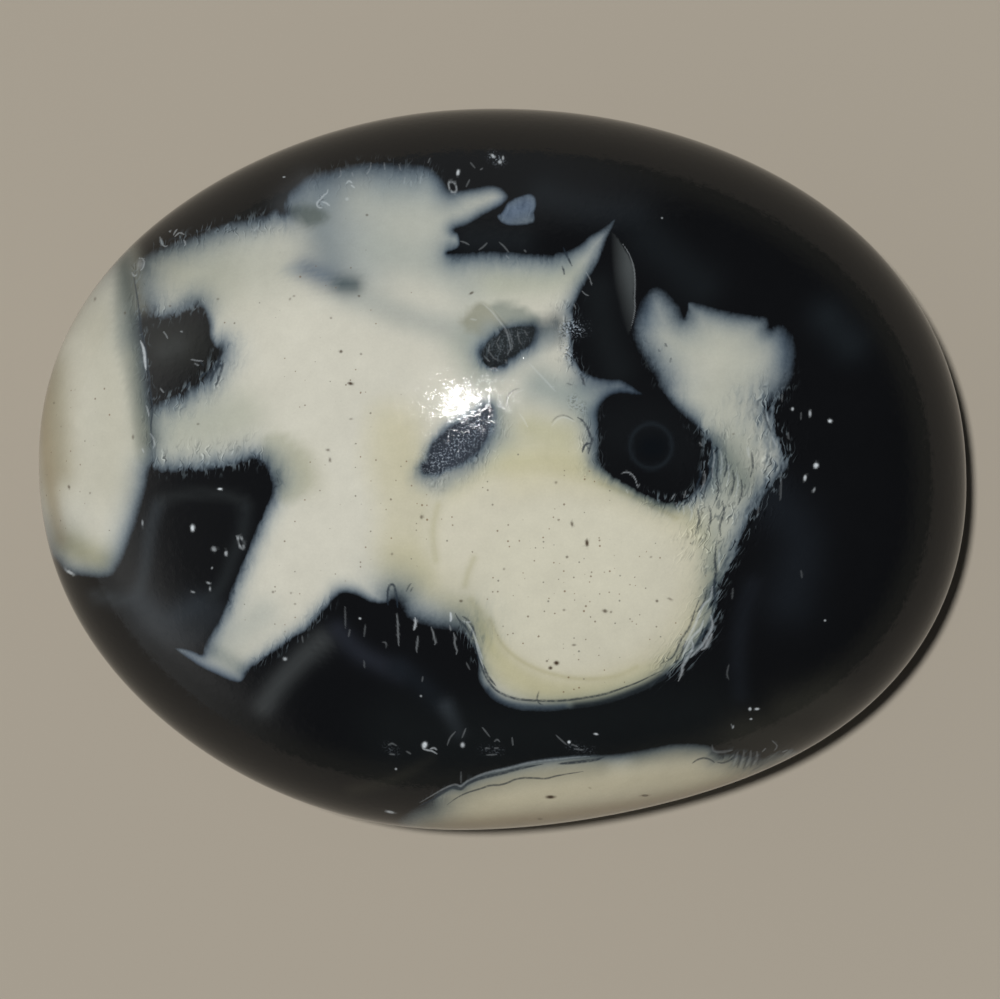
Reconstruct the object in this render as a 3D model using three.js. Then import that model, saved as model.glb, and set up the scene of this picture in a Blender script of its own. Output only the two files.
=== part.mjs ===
// Orca agate palm stone: one pebble, ground and polished to an oval cushion that fits a palm.
// Millimetres, +Z up. X runs along the stone's length and Y across it. The origin is on the
// resting flat, under the middle of the outline.

import * as THREE from 'three';
import { mergeVertices } from 'three/addons/utils/BufferGeometryUtils.js';

// Driving dimensions
const halfLength = 33.1; // along X, from the middle of the outline to its belt
const halfWidth = 25.7; // along Y
const height = 28; // from the resting flat to the crown
const restDepth = 0.3; // what the resting flat takes off the rounded underside
const cornerPower = 2.17; // 2 is a true ellipse, and a little more fills its corners

// The outline was ground by hand, so its radius wanders a little from the oval.
// Each wave goes round the stone in so many lobes, and moves the radius by these shares.
const waves = [
  { lobes: 3, cosine: 0.0046, sine: -0.0027 },
  { lobes: 4, cosine: 0.007, sine: -0.0064 },
  { lobes: 5, cosine: -0.0044, sine: 0.0002 },
];

// Facets along each edge of the cube that the pebble's grid starts from
const steps = 20;

const halfHeight = (height + restDepth) / 2;

// Radius of an oval at an angle. A power of 2 gives the ellipse.
function ovalRadius(angle, power) {
  const alongX = Math.abs(Math.cos(angle) / halfLength) ** power;
  const alongY = Math.abs(Math.sin(angle) / halfWidth) ** power;
  return (alongX + alongY) ** (-1 / power);
}

// Radius of the stone's belt, the widest line round it
function beltRadius(angle) {
  let share = 1;
  for (const wave of waves) {
    share += wave.cosine * Math.cos(wave.lobes * angle) + wave.sine * Math.sin(wave.lobes * angle);
  }
  return ovalRadius(angle, cornerPower) * share;
}

// The stone's surface in a direction from its middle. Every upright section through the middle
// is an ellipse. The belt's shape fades to a plain oval towards the crown and the underside.
function surfacePoint(direction) {
  const level = Math.hypot(direction.x, direction.y);
  const angle = Math.atan2(direction.y, direction.x);
  const oval = ovalRadius(angle, 2);
  const radius = level * (oval + (beltRadius(angle) - oval) * level ** 2);
  const z = Math.max(direction.z * halfHeight, restDepth - halfHeight);
  return new THREE.Vector3(radius * Math.cos(angle), radius * Math.sin(angle), z);
}

// A cube's grid is blown up to a sphere, so that no pole gathers thin facets on the crown.
function palmStoneGeometry() {
  const cube = new THREE.BoxGeometry(2, 2, 2, steps, steps, steps);
  cube.deleteAttribute('normal');
  cube.deleteAttribute('uv');
  const geometry = mergeVertices(cube, 1e-4);
  const position = geometry.attributes.position;
  const direction = new THREE.Vector3();
  const evenOut = (share) => Math.tan((share * Math.PI) / 4);
  for (let i = 0; i < position.count; i += 1) {
    direction.fromBufferAttribute(position, i);
    direction.set(evenOut(direction.x), evenOut(direction.y), evenOut(direction.z)).normalize();
    const point = surfacePoint(direction);
    position.setXYZ(i, point.x, point.y, point.z);
  }
  geometry.computeBoundingBox();
  const box = geometry.boundingBox;
  geometry.translate(-(box.min.x + box.max.x) / 2, -(box.min.y + box.max.y) / 2, -box.min.z);
  geometry.computeVertexNormals();
  return geometry;
}

// Black agate with cream and grey patches, under one clear polish. The solid takes the black.
const polishedAgate = new THREE.MeshStandardMaterial({
  color: 0x151615,
  roughness: 0.12,
  metalness: 0,
});

const palmStone = new THREE.Mesh(palmStoneGeometry(), polishedAgate);
palmStone.name = 'palm_stone';

const part = new THREE.Group();
part.add(palmStone);

export default part;
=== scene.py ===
import math

import bpy
import numpy as np
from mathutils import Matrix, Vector, kdtree


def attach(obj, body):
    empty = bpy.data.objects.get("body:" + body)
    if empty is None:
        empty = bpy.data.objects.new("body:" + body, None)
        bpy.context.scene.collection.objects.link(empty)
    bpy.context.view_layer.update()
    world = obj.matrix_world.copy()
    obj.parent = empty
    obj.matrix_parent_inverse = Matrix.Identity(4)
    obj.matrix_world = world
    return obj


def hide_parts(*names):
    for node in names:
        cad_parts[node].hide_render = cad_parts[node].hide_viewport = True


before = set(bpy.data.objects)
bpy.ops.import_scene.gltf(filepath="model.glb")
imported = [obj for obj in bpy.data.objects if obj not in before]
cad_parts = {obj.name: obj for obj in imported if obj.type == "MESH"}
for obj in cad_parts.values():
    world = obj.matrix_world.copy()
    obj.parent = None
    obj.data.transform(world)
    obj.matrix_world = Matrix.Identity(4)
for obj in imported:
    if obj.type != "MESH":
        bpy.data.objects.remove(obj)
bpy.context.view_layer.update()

# Orca agate palm stone: black agate with cream patches, polished all over.
# Lengths are metres. Places on the pattern are pixels of the 1000 by 999 view from above.

mm = 0.001

shot = {
    "size": (1000, 999),
    "stoneMiddle": (502.5, 469.25),  # pixel over the middle of the stone's outline
    "pixel": 0.07186 * mm,           # what one pixel spans at the height of the belt
    "eyeHeight": 900 * mm,           # camera above the table
    "sensor": 36.0,                  # millimetres, as Blender counts a lens
}

form = {
    "halfLength": 33.1 * mm, "halfWidth": 25.7 * mm,
    "height": 28 * mm, "restDepth": 0.3 * mm,
    "cornerPower": 2.17,
    # lobes round the stone, and the shares by which their cosine and sine move the outline
    "waves": ((3, 0.0046, -0.0027), (4, 0.007, -0.0064), (5, -0.0044, 0.0002)),
    "inside": 0.9995,  # keeps the smooth skin within the faceted solid's box
    "rounds": 6,       # steps of the search for the skin
    "touch": 1e-7,     # metres within which a point counts as on the worn flat
}
halfHeight = (form["height"] + form["restDepth"]) / 2
beltHeight = form["height"] - halfHeight

# Edges of the pale patches. Each stretch has its build-up, the pixels over which the pale colour
# comes in from the black, then its fray, how far fibres break the edge, then its corners.
mainPatch = {
    "armTop": (21, 0.15, [(138, 266), (141, 258), (148, 252), (158, 246), (170, 242), (183, 238),
        (197, 233), (212, 227), (226, 222), (242, 219), (256, 216), (267, 212), (276, 207)]),
    "shoulderNotch": (14, 0.4, [(282, 212), (283, 204), (285, 199)]),
    "shoulderCorner": (18, 0.1, [(288, 192), (296, 183), (306, 175)]),
    "shoulderTop": (25, 0.1, [(320, 170), (334, 167), (352, 163), (370, 161), (390, 162), (410, 163)]),
    "shoulderEnd": (18, 0.05, [(427, 165), (438, 173), (445, 181), (449, 188)]),
    "beakTop": (12, 0.05,
        [(455, 190), (464, 189), (476, 187), (487, 185), (496, 185), (504, 189), (509, 197)]),
    "beakUnder": (11, 0.05,
        [(503, 205), (493, 211), (483, 216), (474, 222), (466, 226), (460, 228), (455, 230)]),
    "beakBump": (6, 0.1, [(458, 233), (460, 239), (460, 245), (457, 249), (452, 251), (447, 253)]),
    "wedgeUnder": (17, 0.2,
        [(455, 253), (465, 252), (482, 251), (500, 251), (518, 252), (535, 253), (549, 254), (559, 252)]),
    "spikeLeft": (13, 0.05,
        [(566, 251), (574, 247), (581, 243), (588, 236), (595, 232), (602, 228), (609, 223), (616, 217)]),
    "spikeRight": (12, 0.15, [(614, 225), (610, 234), (606, 245), (602, 256), (597, 265), (592, 274),
        (586, 284), (581, 293), (577, 302), (573, 310)]),
    "pitEdge": (9, 0.5, [(574, 318), (572, 330), (574, 345), (575, 358), (579, 366)]),
    "browTop": (11, 0.2,
        [(585, 371), (592, 375), (601, 378), (611, 379), (620, 379), (629, 383), (637, 389), (645, 395)]),
    "eyeTop": (11, 0.1, [(632, 395), (621, 394), (612, 396), (606, 400), (601, 407)]),
    "eyeLeft": (13, 0.2, [(599, 416), (600, 428), (600, 440), (600, 452), (601, 462)]),
    "eyeUnder": (11, 0.3, [(606, 469), (616, 477), (628, 484), (640, 491), (653, 497), (666, 502)]),
    "eyeFringe": (12, 0.8, [(676, 501), (686, 498), (694, 492), (699, 483)]),
    "eyeRight": (14, 0.8, [(704, 472), (708, 460), (708, 449), (704, 440), (698, 432)]),
    "channelRight": (16, 0.15, [(690, 423), (681, 414), (672, 405), (664, 395)]),
    "lobeLeft": (29, 0.1,
        [(657, 385), (652, 374), (645, 363), (638, 353), (633, 342), (631, 331), (633, 320), (637, 308)]),
    "lobeTip": (27, 0.05, [(642, 297), (649, 289), (658, 286), (667, 291), (675, 300), (681, 307)]),
    "lobeNotch": (7, 0.1, [(684, 318), (687, 309), (688, 302)]),
    "lobeTop": (19, 0.08, [(696, 302), (708, 305), (722, 309), (738, 312), (754, 315), (767, 317)]),
    "lobeStep": (22, 0.1, [(770, 327), (772, 326)]),
    "lobeRight": (31, 0.1,
        [(780, 323), (788, 328), (794, 337), (797, 350), (797, 363), (794, 376), (789, 387), (782, 397)]),
    "lobeWaist": (20, 0.8,
        [(775, 406), (774, 415), (777, 425), (781, 435), (786, 444), (790, 455), (788, 466)]),
    "fringe": (15, 0.8, [(782, 474), (775, 481), (769, 491), (762, 501), (756, 511), (750, 522),
        (746, 533), (741, 545), (736, 557), (730, 569), (724, 580), (719, 591), (718, 603), (717, 614),
        (715, 626), (710, 637), (703, 647), (695, 656), (686, 665), (676, 672)]),
    "discBottom": (12, 0.05, [(667, 679), (653, 687), (638, 694), (622, 700), (605, 705), (588, 708),
        (570, 710), (552, 712), (536, 712), (520, 711), (505, 707), (492, 700), (484, 691), (478, 680)]),
    "discLeft": (9, 0.5, [(477, 668), (475, 656), (472, 646), (466, 638)]),
    "bellyEdge": (29, 0.06,
        [(457, 633), (448, 631), (437, 630), (426, 627), (415, 623), (406, 617), (401, 609), (397, 602)]),
    "legCrook": (11, 0.08,
        [(391, 601), (385, 604), (377, 604), (368, 602), (359, 597), (350, 594), (342, 594)]),
    "legRight": (10, 0.3, [(335, 599), (328, 607), (320, 616), (311, 626), (302, 634), (291, 641),
        (280, 649), (268, 657), (257, 665), (249, 672)]),
    "flag": (7, 0.05, [(244, 680), (238, 683), (227, 680), (214, 674), (203, 669), (192, 662), (182, 655),
        (174, 648), (184, 648), (194, 651), (202, 654)]),
    "legLeft": (13, 0.25, [(203, 648), (207, 638), (212, 629), (218, 619), (223, 608), (228, 596),
        (232, 585), (237, 573), (242, 561), (247, 549), (252, 537), (257, 525), (263, 513), (268, 502),
        (271, 491)]),
    "armpit": (18, 0.3, [(271, 481), (267, 473), (261, 465), (254, 461)]),
    "armUnder": (18, 0.35,
        [(244, 464), (232, 467), (218, 470), (202, 472), (186, 473), (170, 473), (156, 472)]),
    "armEnd": (22, 0.2, [(148, 466), (143, 452), (141, 437), (142, 421), (147, 408)]),
    "spotUnder": (20, 0.35, [(157, 402), (168, 398), (178, 393), (187, 387), (196, 382), (204, 376),
        (210, 368), (215, 359), (219, 351)]),
    "spotRight": (9, 0.2, [(212, 345), (209, 336), (208, 326), (206, 317), (203, 309)]),
    "spotTop": (19, 0.3, [(196, 308), (188, 312), (180, 316), (170, 320), (160, 322), (151, 319)]),
    "armTip": (30, 0.1, [(143, 311), (137, 300), (133, 288), (132, 274)]),
}

leftSliver = {
    "innerTop": (22, 0.05, [(131, 243), (135, 258), (138, 275), (141, 292), (143, 310), (144, 328)]),
    "inner": (14, 0.1,
        [(145, 345), (147, 362), (149, 380), (151, 398), (154, 412), (158, 428), (158, 445), (155, 460)]),
    "innerLow": (18, 0.05, [(150, 473), (148, 486), (144, 500), (140, 513), (136, 527), (131, 541),
        (126, 554), (119, 568), (112, 577)]),
    "foot": (15, 0.05, [(100, 579), (86, 578), (74, 576), (63, 571), (52, 560)]),
    # from here on the patch lies under the belt
    "under": (40, 0.3, [(28, 556), (0, 540), (-35, 505), (-58, 450), (-62, 390), (-48, 335), (-12, 290),
        (35, 258), (80, 240), (112, 232)]),
}

bottomBand = {
    "tip": (28, 0.05, [(396, 819), (404, 813), (412, 808), (422, 803)]),
    "upperLeft": (11, 0.04, [(431, 797), (440, 790), (450, 785), (459, 784), (467, 779.5), (478, 774),
        (490, 770), (502, 766.5), (514, 764), (527, 760.5), (542, 758), (558, 756), (574, 754.5),
        (590, 754), (604, 754)]),
    "upperMiddle": (12, 0.05, [(618, 753), (632, 751), (646, 748.5), (660, 745.5), (676, 743), (692, 743),
        (706, 744), (713, 747)]),
    "upperRight": (15, 0.5,
        [(718, 751), (730, 752), (742, 754), (752, 757), (762, 757), (772, 753), (782, 750), (792, 748)]),
    # from here on the patch lies under the belt
    "under": (40, 0.3, [(812, 756), (806, 800), (772, 845), (715, 880), (640, 900), (560, 908),
        (490, 902), (430, 884), (392, 858), (380, 836)]),
}

# Dark spots within the main patch
fibrousSpot = {
    "left": (8, 0.5,
        [(499, 366), (491, 365), (485, 361), (482, 354), (485, 347), (491, 341), (498, 335)]),
    "top": (7, 0.3, [(505, 330), (515, 328), (526, 327), (534, 328)]),
    "right": (17, 0.5, [(533, 334), (529, 343), (522, 349), (513, 355), (506, 361)]),
}
longSpot = {
    "left": (8, 0.4, [(425, 472), (423, 466), (428, 462), (430, 455), (433, 447), (439, 440), (445, 434),
        (451, 428), (459, 423), (468, 418), (477, 414), (486, 407)]),
    "right": (16, 0.5, [(491, 409), (491, 418), (489, 428), (485, 438), (479, 447), (472, 455),
        (464, 461), (456, 464), (450, 466), (443, 470), (434, 473)]),
}

# Patches of the underside, which the view doesn't show, on the same pixels mirrored from below
underPatches = {
    "lobed": {
        "left": (22, 0.3, [(330, 420), (352, 388), (392, 366), (430, 378), (462, 360), (500, 342),
            (548, 350), (574, 372), (612, 366), (650, 384), (668, 420)]),
        "right": (14, 0.8, [(648, 450), (660, 486), (640, 520), (598, 530), (572, 556), (540, 590),
            (498, 596), (468, 570), (452, 536), (416, 524), (380, 506), (350, 470)]),
    },
    "small": {
        "all": (18, 0.4, [(700, 560), (730, 536), (768, 540), (786, 566), (770, 600), (732, 612),
            (704, 594)]),
    },
}

# Faint blue-grey patch in the black by the beak
bluePatch = {
    "all": (9, 0.15, [(496, 216), (502, 211), (506, 204), (512, 199), (520, 195), (529, 193), (536, 197),
        (537, 206), (535, 213), (536, 220), (532, 224), (520, 226), (508, 226), (500, 222)]),
}

# Old fracture inside the stone, its grey a painted reflection off its face: its right rim is crisp and its
# left side fades
fractureAndSheen = {
    "rim": (1.5, 0, [(612, 232), (619, 240), (625, 249), (630, 257), (633, 264), (635, 275), (635, 285),
        (634, 295), (635, 305), (635, 312), (633, 320), (631, 327), (629, 334)]),
    "fade": (16, 0, [(624, 326), (620, 312), (617, 298), (614, 284), (612, 268), (611, 252), (611, 240)]),
}


def linear(red, green, blue):  # 0 to 255 as a screen shows it, to the light that it stands for
    shown = np.array((red, green, blue), float) / 255
    return np.where(shown < 0.04045, shown / 12.92, ((shown + 0.055) / 1.055) ** 2.4)


def roundedPath(points, closed, steps=3):  # a smooth curve through the points
    corners = np.array(points, float)
    if closed:
        before, after, later = (np.roll(corners, shift, axis=0) for shift in (1, -1, -2))
        here = corners
    else:
        padded = np.vstack([2 * corners[0] - corners[1], corners, 2 * corners[-1] - corners[-2]])
        before, here, after, later = padded[:-3], padded[1:-2], padded[2:-1], padded[3:]
    parts = []
    for step in range(steps):
        s = step / steps
        parts.append(0.5 * (2 * here + (after - before) * s
                            + (2 * before - 5 * here + 4 * after - later) * s ** 2
                            + (3 * here - before - 3 * after + later) * s ** 3))
    path = np.stack(parts, axis=1).reshape(-1, 2)
    return path if closed else np.vstack([path, corners[-1]])


def segmentDistance(places, start, end):  # from each place to each segment, and where along it
    along = end - start
    offset = places[:, None, :] - start[None]
    share = (offset * along).sum(2) / np.maximum((along ** 2).sum(1), 1e-9)
    share = np.clip(share, 0, 1)
    gap = offset - share[:, :, None] * along[None]
    return np.sqrt((gap ** 2).sum(2)), share


def patchLoop(patch, steps=3):
    corners, build, fray = [], [], []
    for reach, frayed, points in patch.values():
        corners += points
        build += [reach] * len(points)
        fray += [frayed] * len(points)
    loop = roundedPath(corners, True, steps)
    shares = np.tile(np.arange(steps) / steps, len(corners))
    spread = [np.repeat(v, steps) * (1 - shares) + np.repeat(np.roll(v, -1), steps) * shares
              for v in (np.array(build, float), np.array(fray, float))]
    return loop, spread[0], spread[1]


brush = {
    "atOnce": 3000,       # places measured at one time, to save memory
    "outside": 6,         # pixels outside a patch over which its depth falls by 1
    "farAway": 1000.0,    # pixels, for places out of reach of a line
    "markReach": 2.6, "lineReach": 3,  # how far round marks and fine lines is looked at, in their widths
    "taper": 4.6, "thinnest": 0.05,    # how soon a fine line is at its full width, and its least
    "firm": 0.7,          # how firmly fine lines and dots end
}


def patchDepth(places, patch, outsideReach=brush["outside"]):
    # 0 at the edge and 1 where the build-up ends, below 0 outside. Also the fray there.
    loop, build, fray = patchLoop(patch)
    start, end = loop.astype(np.float32), np.roll(loop, -1, axis=0).astype(np.float32)
    depth, frayed = np.zeros(len(places)), np.zeros(len(places))
    for first in range(0, len(places), brush["atOnce"]):
        chunk = slice(first, first + brush["atOnce"])
        part = places[chunk].astype(np.float32)
        distance, _ = segmentDistance(part, start, end)
        ratio = distance / build
        nearest = ratio.argmin(1)
        x, y = part[:, :1], part[:, 1:]
        crosses = (start[:, 1] > y) != (end[:, 1] > y)
        rise = np.where(end[:, 1] == start[:, 1], 1e-9, end[:, 1] - start[:, 1])
        crosses &= x < start[:, 0] + (y - start[:, 1]) / rise * (end[:, 0] - start[:, 0])
        inside = crosses.sum(1) % 2 == 1
        rows = np.arange(len(part))
        depth[chunk] = np.where(inside, ratio[rows, nearest], -distance.min(1) / outsideReach)
        frayed[chunk] = fray[distance.argmin(1)]
    return depth, frayed


# Flat tinted lenses within the pale colour: colour, strength, pixels over which the edge blends, corners
paleLenses = {
    "disc": ((192, 188, 169), 0.75, 9, [(437, 590), (433, 560), (430, 535), (436, 512), (452, 497),
        (475, 484), (505, 474), (545, 471), (585, 478), (620, 489), (655, 503), (684, 520), (700, 548),
        (702, 580), (696, 612), (682, 642), (655, 664), (618, 680), (570, 685), (530, 674), (503, 650),
        (490, 622), (478, 602), (458, 600)]),
    "heart": ((193, 190, 172), 0.8, 12, [(486, 596), (484, 570), (488, 545), (500, 524), (520, 508),
        (550, 500), (590, 502), (628, 512), (655, 530), (668, 560), (666, 598), (652, 630), (628, 652),
        (595, 664), (560, 664), (528, 652), (505, 630)]),
    "armpitLens": ((163, 163, 145), 0.75, 4, [(262, 440), (272, 432), (286, 434), (298, 444), (307, 456),
        (312, 470), (310, 485), (302, 496), (290, 503), (279, 500), (275, 486), (270, 468), (262, 455)]),
    "shoulderLens": ((88, 96, 92), 0.85, 4, [(286, 210), (296, 205), (309, 205), (321, 209), (329, 216),
        (322, 223), (309, 227), (299, 222), (291, 216)]),
    "sliverBand": ((147, 149, 137), 0.7, 3, [(125, 250), (118, 270), (115, 292), (115, 322), (118, 348),
        (124, 376), (130, 404), (134, 436), (138, 462), (150, 462), (150, 420), (146, 370), (140, 320),
        (137, 280), (133, 252)]),
    "olive": ((131, 132, 116), 0.8, 3, [(461, 323), (468, 313), (477, 303), (486, 304), (494, 311),
        (503, 318), (509, 326), (497, 331), (488, 339), (476, 335), (465, 328)]),
    "oliveRight": ((124, 131, 122), 0.8, 3, [(490, 306), (502, 302), (516, 305), (530, 311), (541, 319),
        (536, 326), (518, 326), (506, 322), (496, 314)]),
    "spotSkirt": ((64, 74, 79), 0.9, 8, [(526, 328), (545, 319), (556, 314), (564, 320), (563, 334),
        (556, 343), (540, 345), (528, 352), (514, 360), (505, 364), (512, 352), (524, 342), (530, 334)]),
    "crookYellow": ((180, 175, 149), 0.65, 14, [(372, 410), (398, 402), (418, 420), (428, 470),
        (436, 500), (430, 545), (424, 590), (392, 592), (376, 560), (378, 510), (366, 460)]),
}

# Soft brush marks of colour: colour, strength, how far they spread, then the marks, one by one
paleMarks = {
    "upperGrey": ((160, 164, 156), 0.75, 48, [[(350, 205), (450, 215)]]),
    "armGrey": ((149, 149, 133), 0.8, 42, [[(160, 262), (205, 275)]]),
    "armLow": ((158, 160, 146), 0.75, 26, [[(165, 430), (200, 425), (240, 414)]]),
    "armMiddle": ((158, 161, 150), 0.55, 40, [[(215, 262), (262, 262)], [(160, 430), (205, 425)]]),
    "haze": ((102, 114, 120), 0.82, 28, [[(316, 204), (325, 232), (333, 260)]]),
    "hazeRight": ((140, 148, 149), 0.6, 30, [[(352, 238), (362, 268)]]),
    "smear": ((84, 97, 110), 0.8, 12, [[(304, 268), (322, 275), (345, 284)]]),
    "smearHeart": ((66, 78, 82), 0.85, 9, [[(340, 284), (354, 285)]]),
    "smearStart": ((135, 143, 144), 0.6, 6, [[(289, 269), (296, 270)]]),
    "shoulderBlue": ((134, 143, 145), 0.6, 20, [[(300, 198), (315, 190), (326, 196)]]),
    "shoulderRight": ((140, 150, 150), 0.6, 22, [[(385, 184), (430, 182)]]),
    "greyCurve": ((146, 151, 146), 0.7, 17, [[(352, 292), (375, 303), (397, 313), (430, 323),
        (480, 336)]]),
    "veilUp": ((150, 156, 150), 0.7, 26, [[(380, 250), (440, 265), (470, 285)]]),
    "spotHalo": ((135, 144, 144), 0.6, 11, [[(478, 350), (490, 330)],
        [(505, 366), (530, 352), (550, 338)]]),
    "wedgeGrey": ((150, 157, 152), 0.5, 11, [[(455, 262), (500, 264), (556, 266), (590, 250)]]),
    "wedgeFace": ((164, 167, 152), 0.85, 20, [[(498, 282), (545, 280), (572, 272)]]),
    "browBlue": ((88, 102, 112), 0.8, 15, [[(584, 388), (620, 390), (640, 396)]]),
    "browFill": ((126, 138, 136), 0.75, 22, [[(540, 385), (565, 395), (588, 412)]]),
    "middleGrey": ((138, 146, 138), 0.75, 22, [[(495, 415), (500, 448)], [(470, 345), (482, 372)]]),
    "eyeLeftGrey": ((112, 122, 124), 0.55, 9, [[(593, 415), (592, 440), (594, 462)]]),
    "spotTail": ((120, 130, 132), 0.6, 10, [[(420, 478), (438, 486), (455, 478), (478, 462),
        (494, 435)]]),
    "aboveDisc": ((184, 180, 150), 0.7, 18, [[(455, 492), (490, 470), (540, 455), (580, 462)]]),
    "noseTop": ((170, 168, 138), 0.75, 17, [[(530, 428), (565, 436)]]),
    "bellyYellow": ((172, 166, 132), 0.75, 22, [[(405, 560), (440, 585), (462, 600)]]),
    "chestFoot": ((176, 172, 146), 0.6, 22, [[(402, 436), (408, 470)]]),
    "armpitFace": ((152, 150, 128), 0.6, 16, [[(300, 462), (306, 480)]]),
    "armpitBlue": ((128, 136, 138), 0.8, 12, [[(278, 470), (288, 482)], [(274, 458), (280, 464)]]),
    "legCool": ((158, 163, 157), 0.6, 20, [[(232, 640), (262, 615)]]),
    "flagBlue": ((136, 143, 146), 0.9, 9, [[(190, 657), (212, 668), (234, 678)]]),
    "legTip": ((120, 128, 125), 0.75, 10, [[(215, 652), (240, 668)]]),
    "discRim": ((174, 169, 135), 1.0, 22, [[(520, 480), (560, 478), (600, 488), (640, 503), (680, 522),
        (702, 556), (698, 600), (680, 640), (650, 664), (615, 682), (570, 690), (530, 680), (500, 655),
        (486, 625)]]),
    "ringInner": ((168, 163, 133), 0.75, 2.4, [[(490, 620), (499, 640), (514, 656), (537, 669),
        (565, 677), (592, 679), (617, 676), (637, 667)],
        [(600, 483), (628, 494), (655, 506), (676, 518)]]),
    "ringLeft": ((166, 162, 132), 0.5, 3.4, [[(474, 558), (469, 570), (465, 585)],
        [(471, 600), (480, 612)], [(438, 505), (433, 530), (436, 560)]]),
    "discOuterRing": ((172, 170, 143), 0.5, 2.6, [[(480, 655), (490, 671), (505, 683), (520, 691),
        (535, 696), (560, 697), (600, 693), (622, 685), (640, 675), (652, 664)]]),
    "discLip": ((104, 112, 114), 0.9, 4.6, [[(488, 690), (498, 700), (512, 705), (528, 707), (545, 708),
        (564, 707)]]),
    "discLipRight": ((40, 47, 52), 0.95, 4.6, [[(576, 706), (590, 704), (606, 701), (624, 695),
        (642, 688), (656, 681), (668, 674)]]),
    "discFoot": ((182, 178, 150), 0.5, 10, [[(495, 660), (530, 684), (590, 690), (640, 672)]]),
    "lobeBase": ((167, 169, 157), 0.75, 46, [[(690, 340), (740, 350), (715, 400)]]),
    "lobeShoulder": ((120, 133, 138), 0.6, 12, [[(645, 306), (648, 322)], [(784, 338), (786, 362)]]),
    "bridgeGrey": ((146, 152, 142), 0.65, 32, [[(735, 450), (725, 500), (712, 540)]]),
    "bridgeHeart": ((112, 120, 113), 0.85, 18, [[(724, 458), (742, 480)], [(712, 450), (714, 466)]]),
    "fringeGrey": ((125, 134, 130), 0.55, 13, [[(712, 462), (715, 490)],
        [(706, 560), (705, 620), (690, 645)]]),
    "sliverFace": ((174, 172, 157), 0.95, 34, [[(105, 330), (112, 400), (110, 480)]]),
    "sliverFoot": ((146, 144, 118), 0.85, 16, [[(70, 545), (100, 560)]]),
    "sliverEdge": ((118, 120, 106), 0.85, 11, [[(124, 262), (131, 300), (136, 345), (141, 395),
        (147, 440)]]),
    "sliverLeft": ((143, 136, 113), 0.75, 19, [[(50, 370), (54, 420), (58, 470)]]),
    "patchBlue": ((184, 192, 198), 0.9, 12, [[(508, 213), (526, 206)]]),
    # Painted shade and floor reflection: browner and darker along the steep rim
    "sliverRimShade": ((150, 138, 112), 0.75, 9, [[(42, 380), (44, 430), (50, 490), (60, 540)]]),
    "bandRimShade": ((142, 126, 100), 0.7, 10, [[(430, 830), (520, 822), (600, 812), (700, 796), (780, 770)]]),
    "bandEdge": ((158, 154, 134), 0.85, 11, [[(432, 806), (470, 792), (520, 778), (600, 767)],
        [(640, 757), (700, 752), (740, 764), (780, 762)]]),
    "bandFace": ((188, 180, 152), 0.75, 34, [[(420, 820), (520, 800), (640, 780), (760, 775)]]),
}

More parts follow.
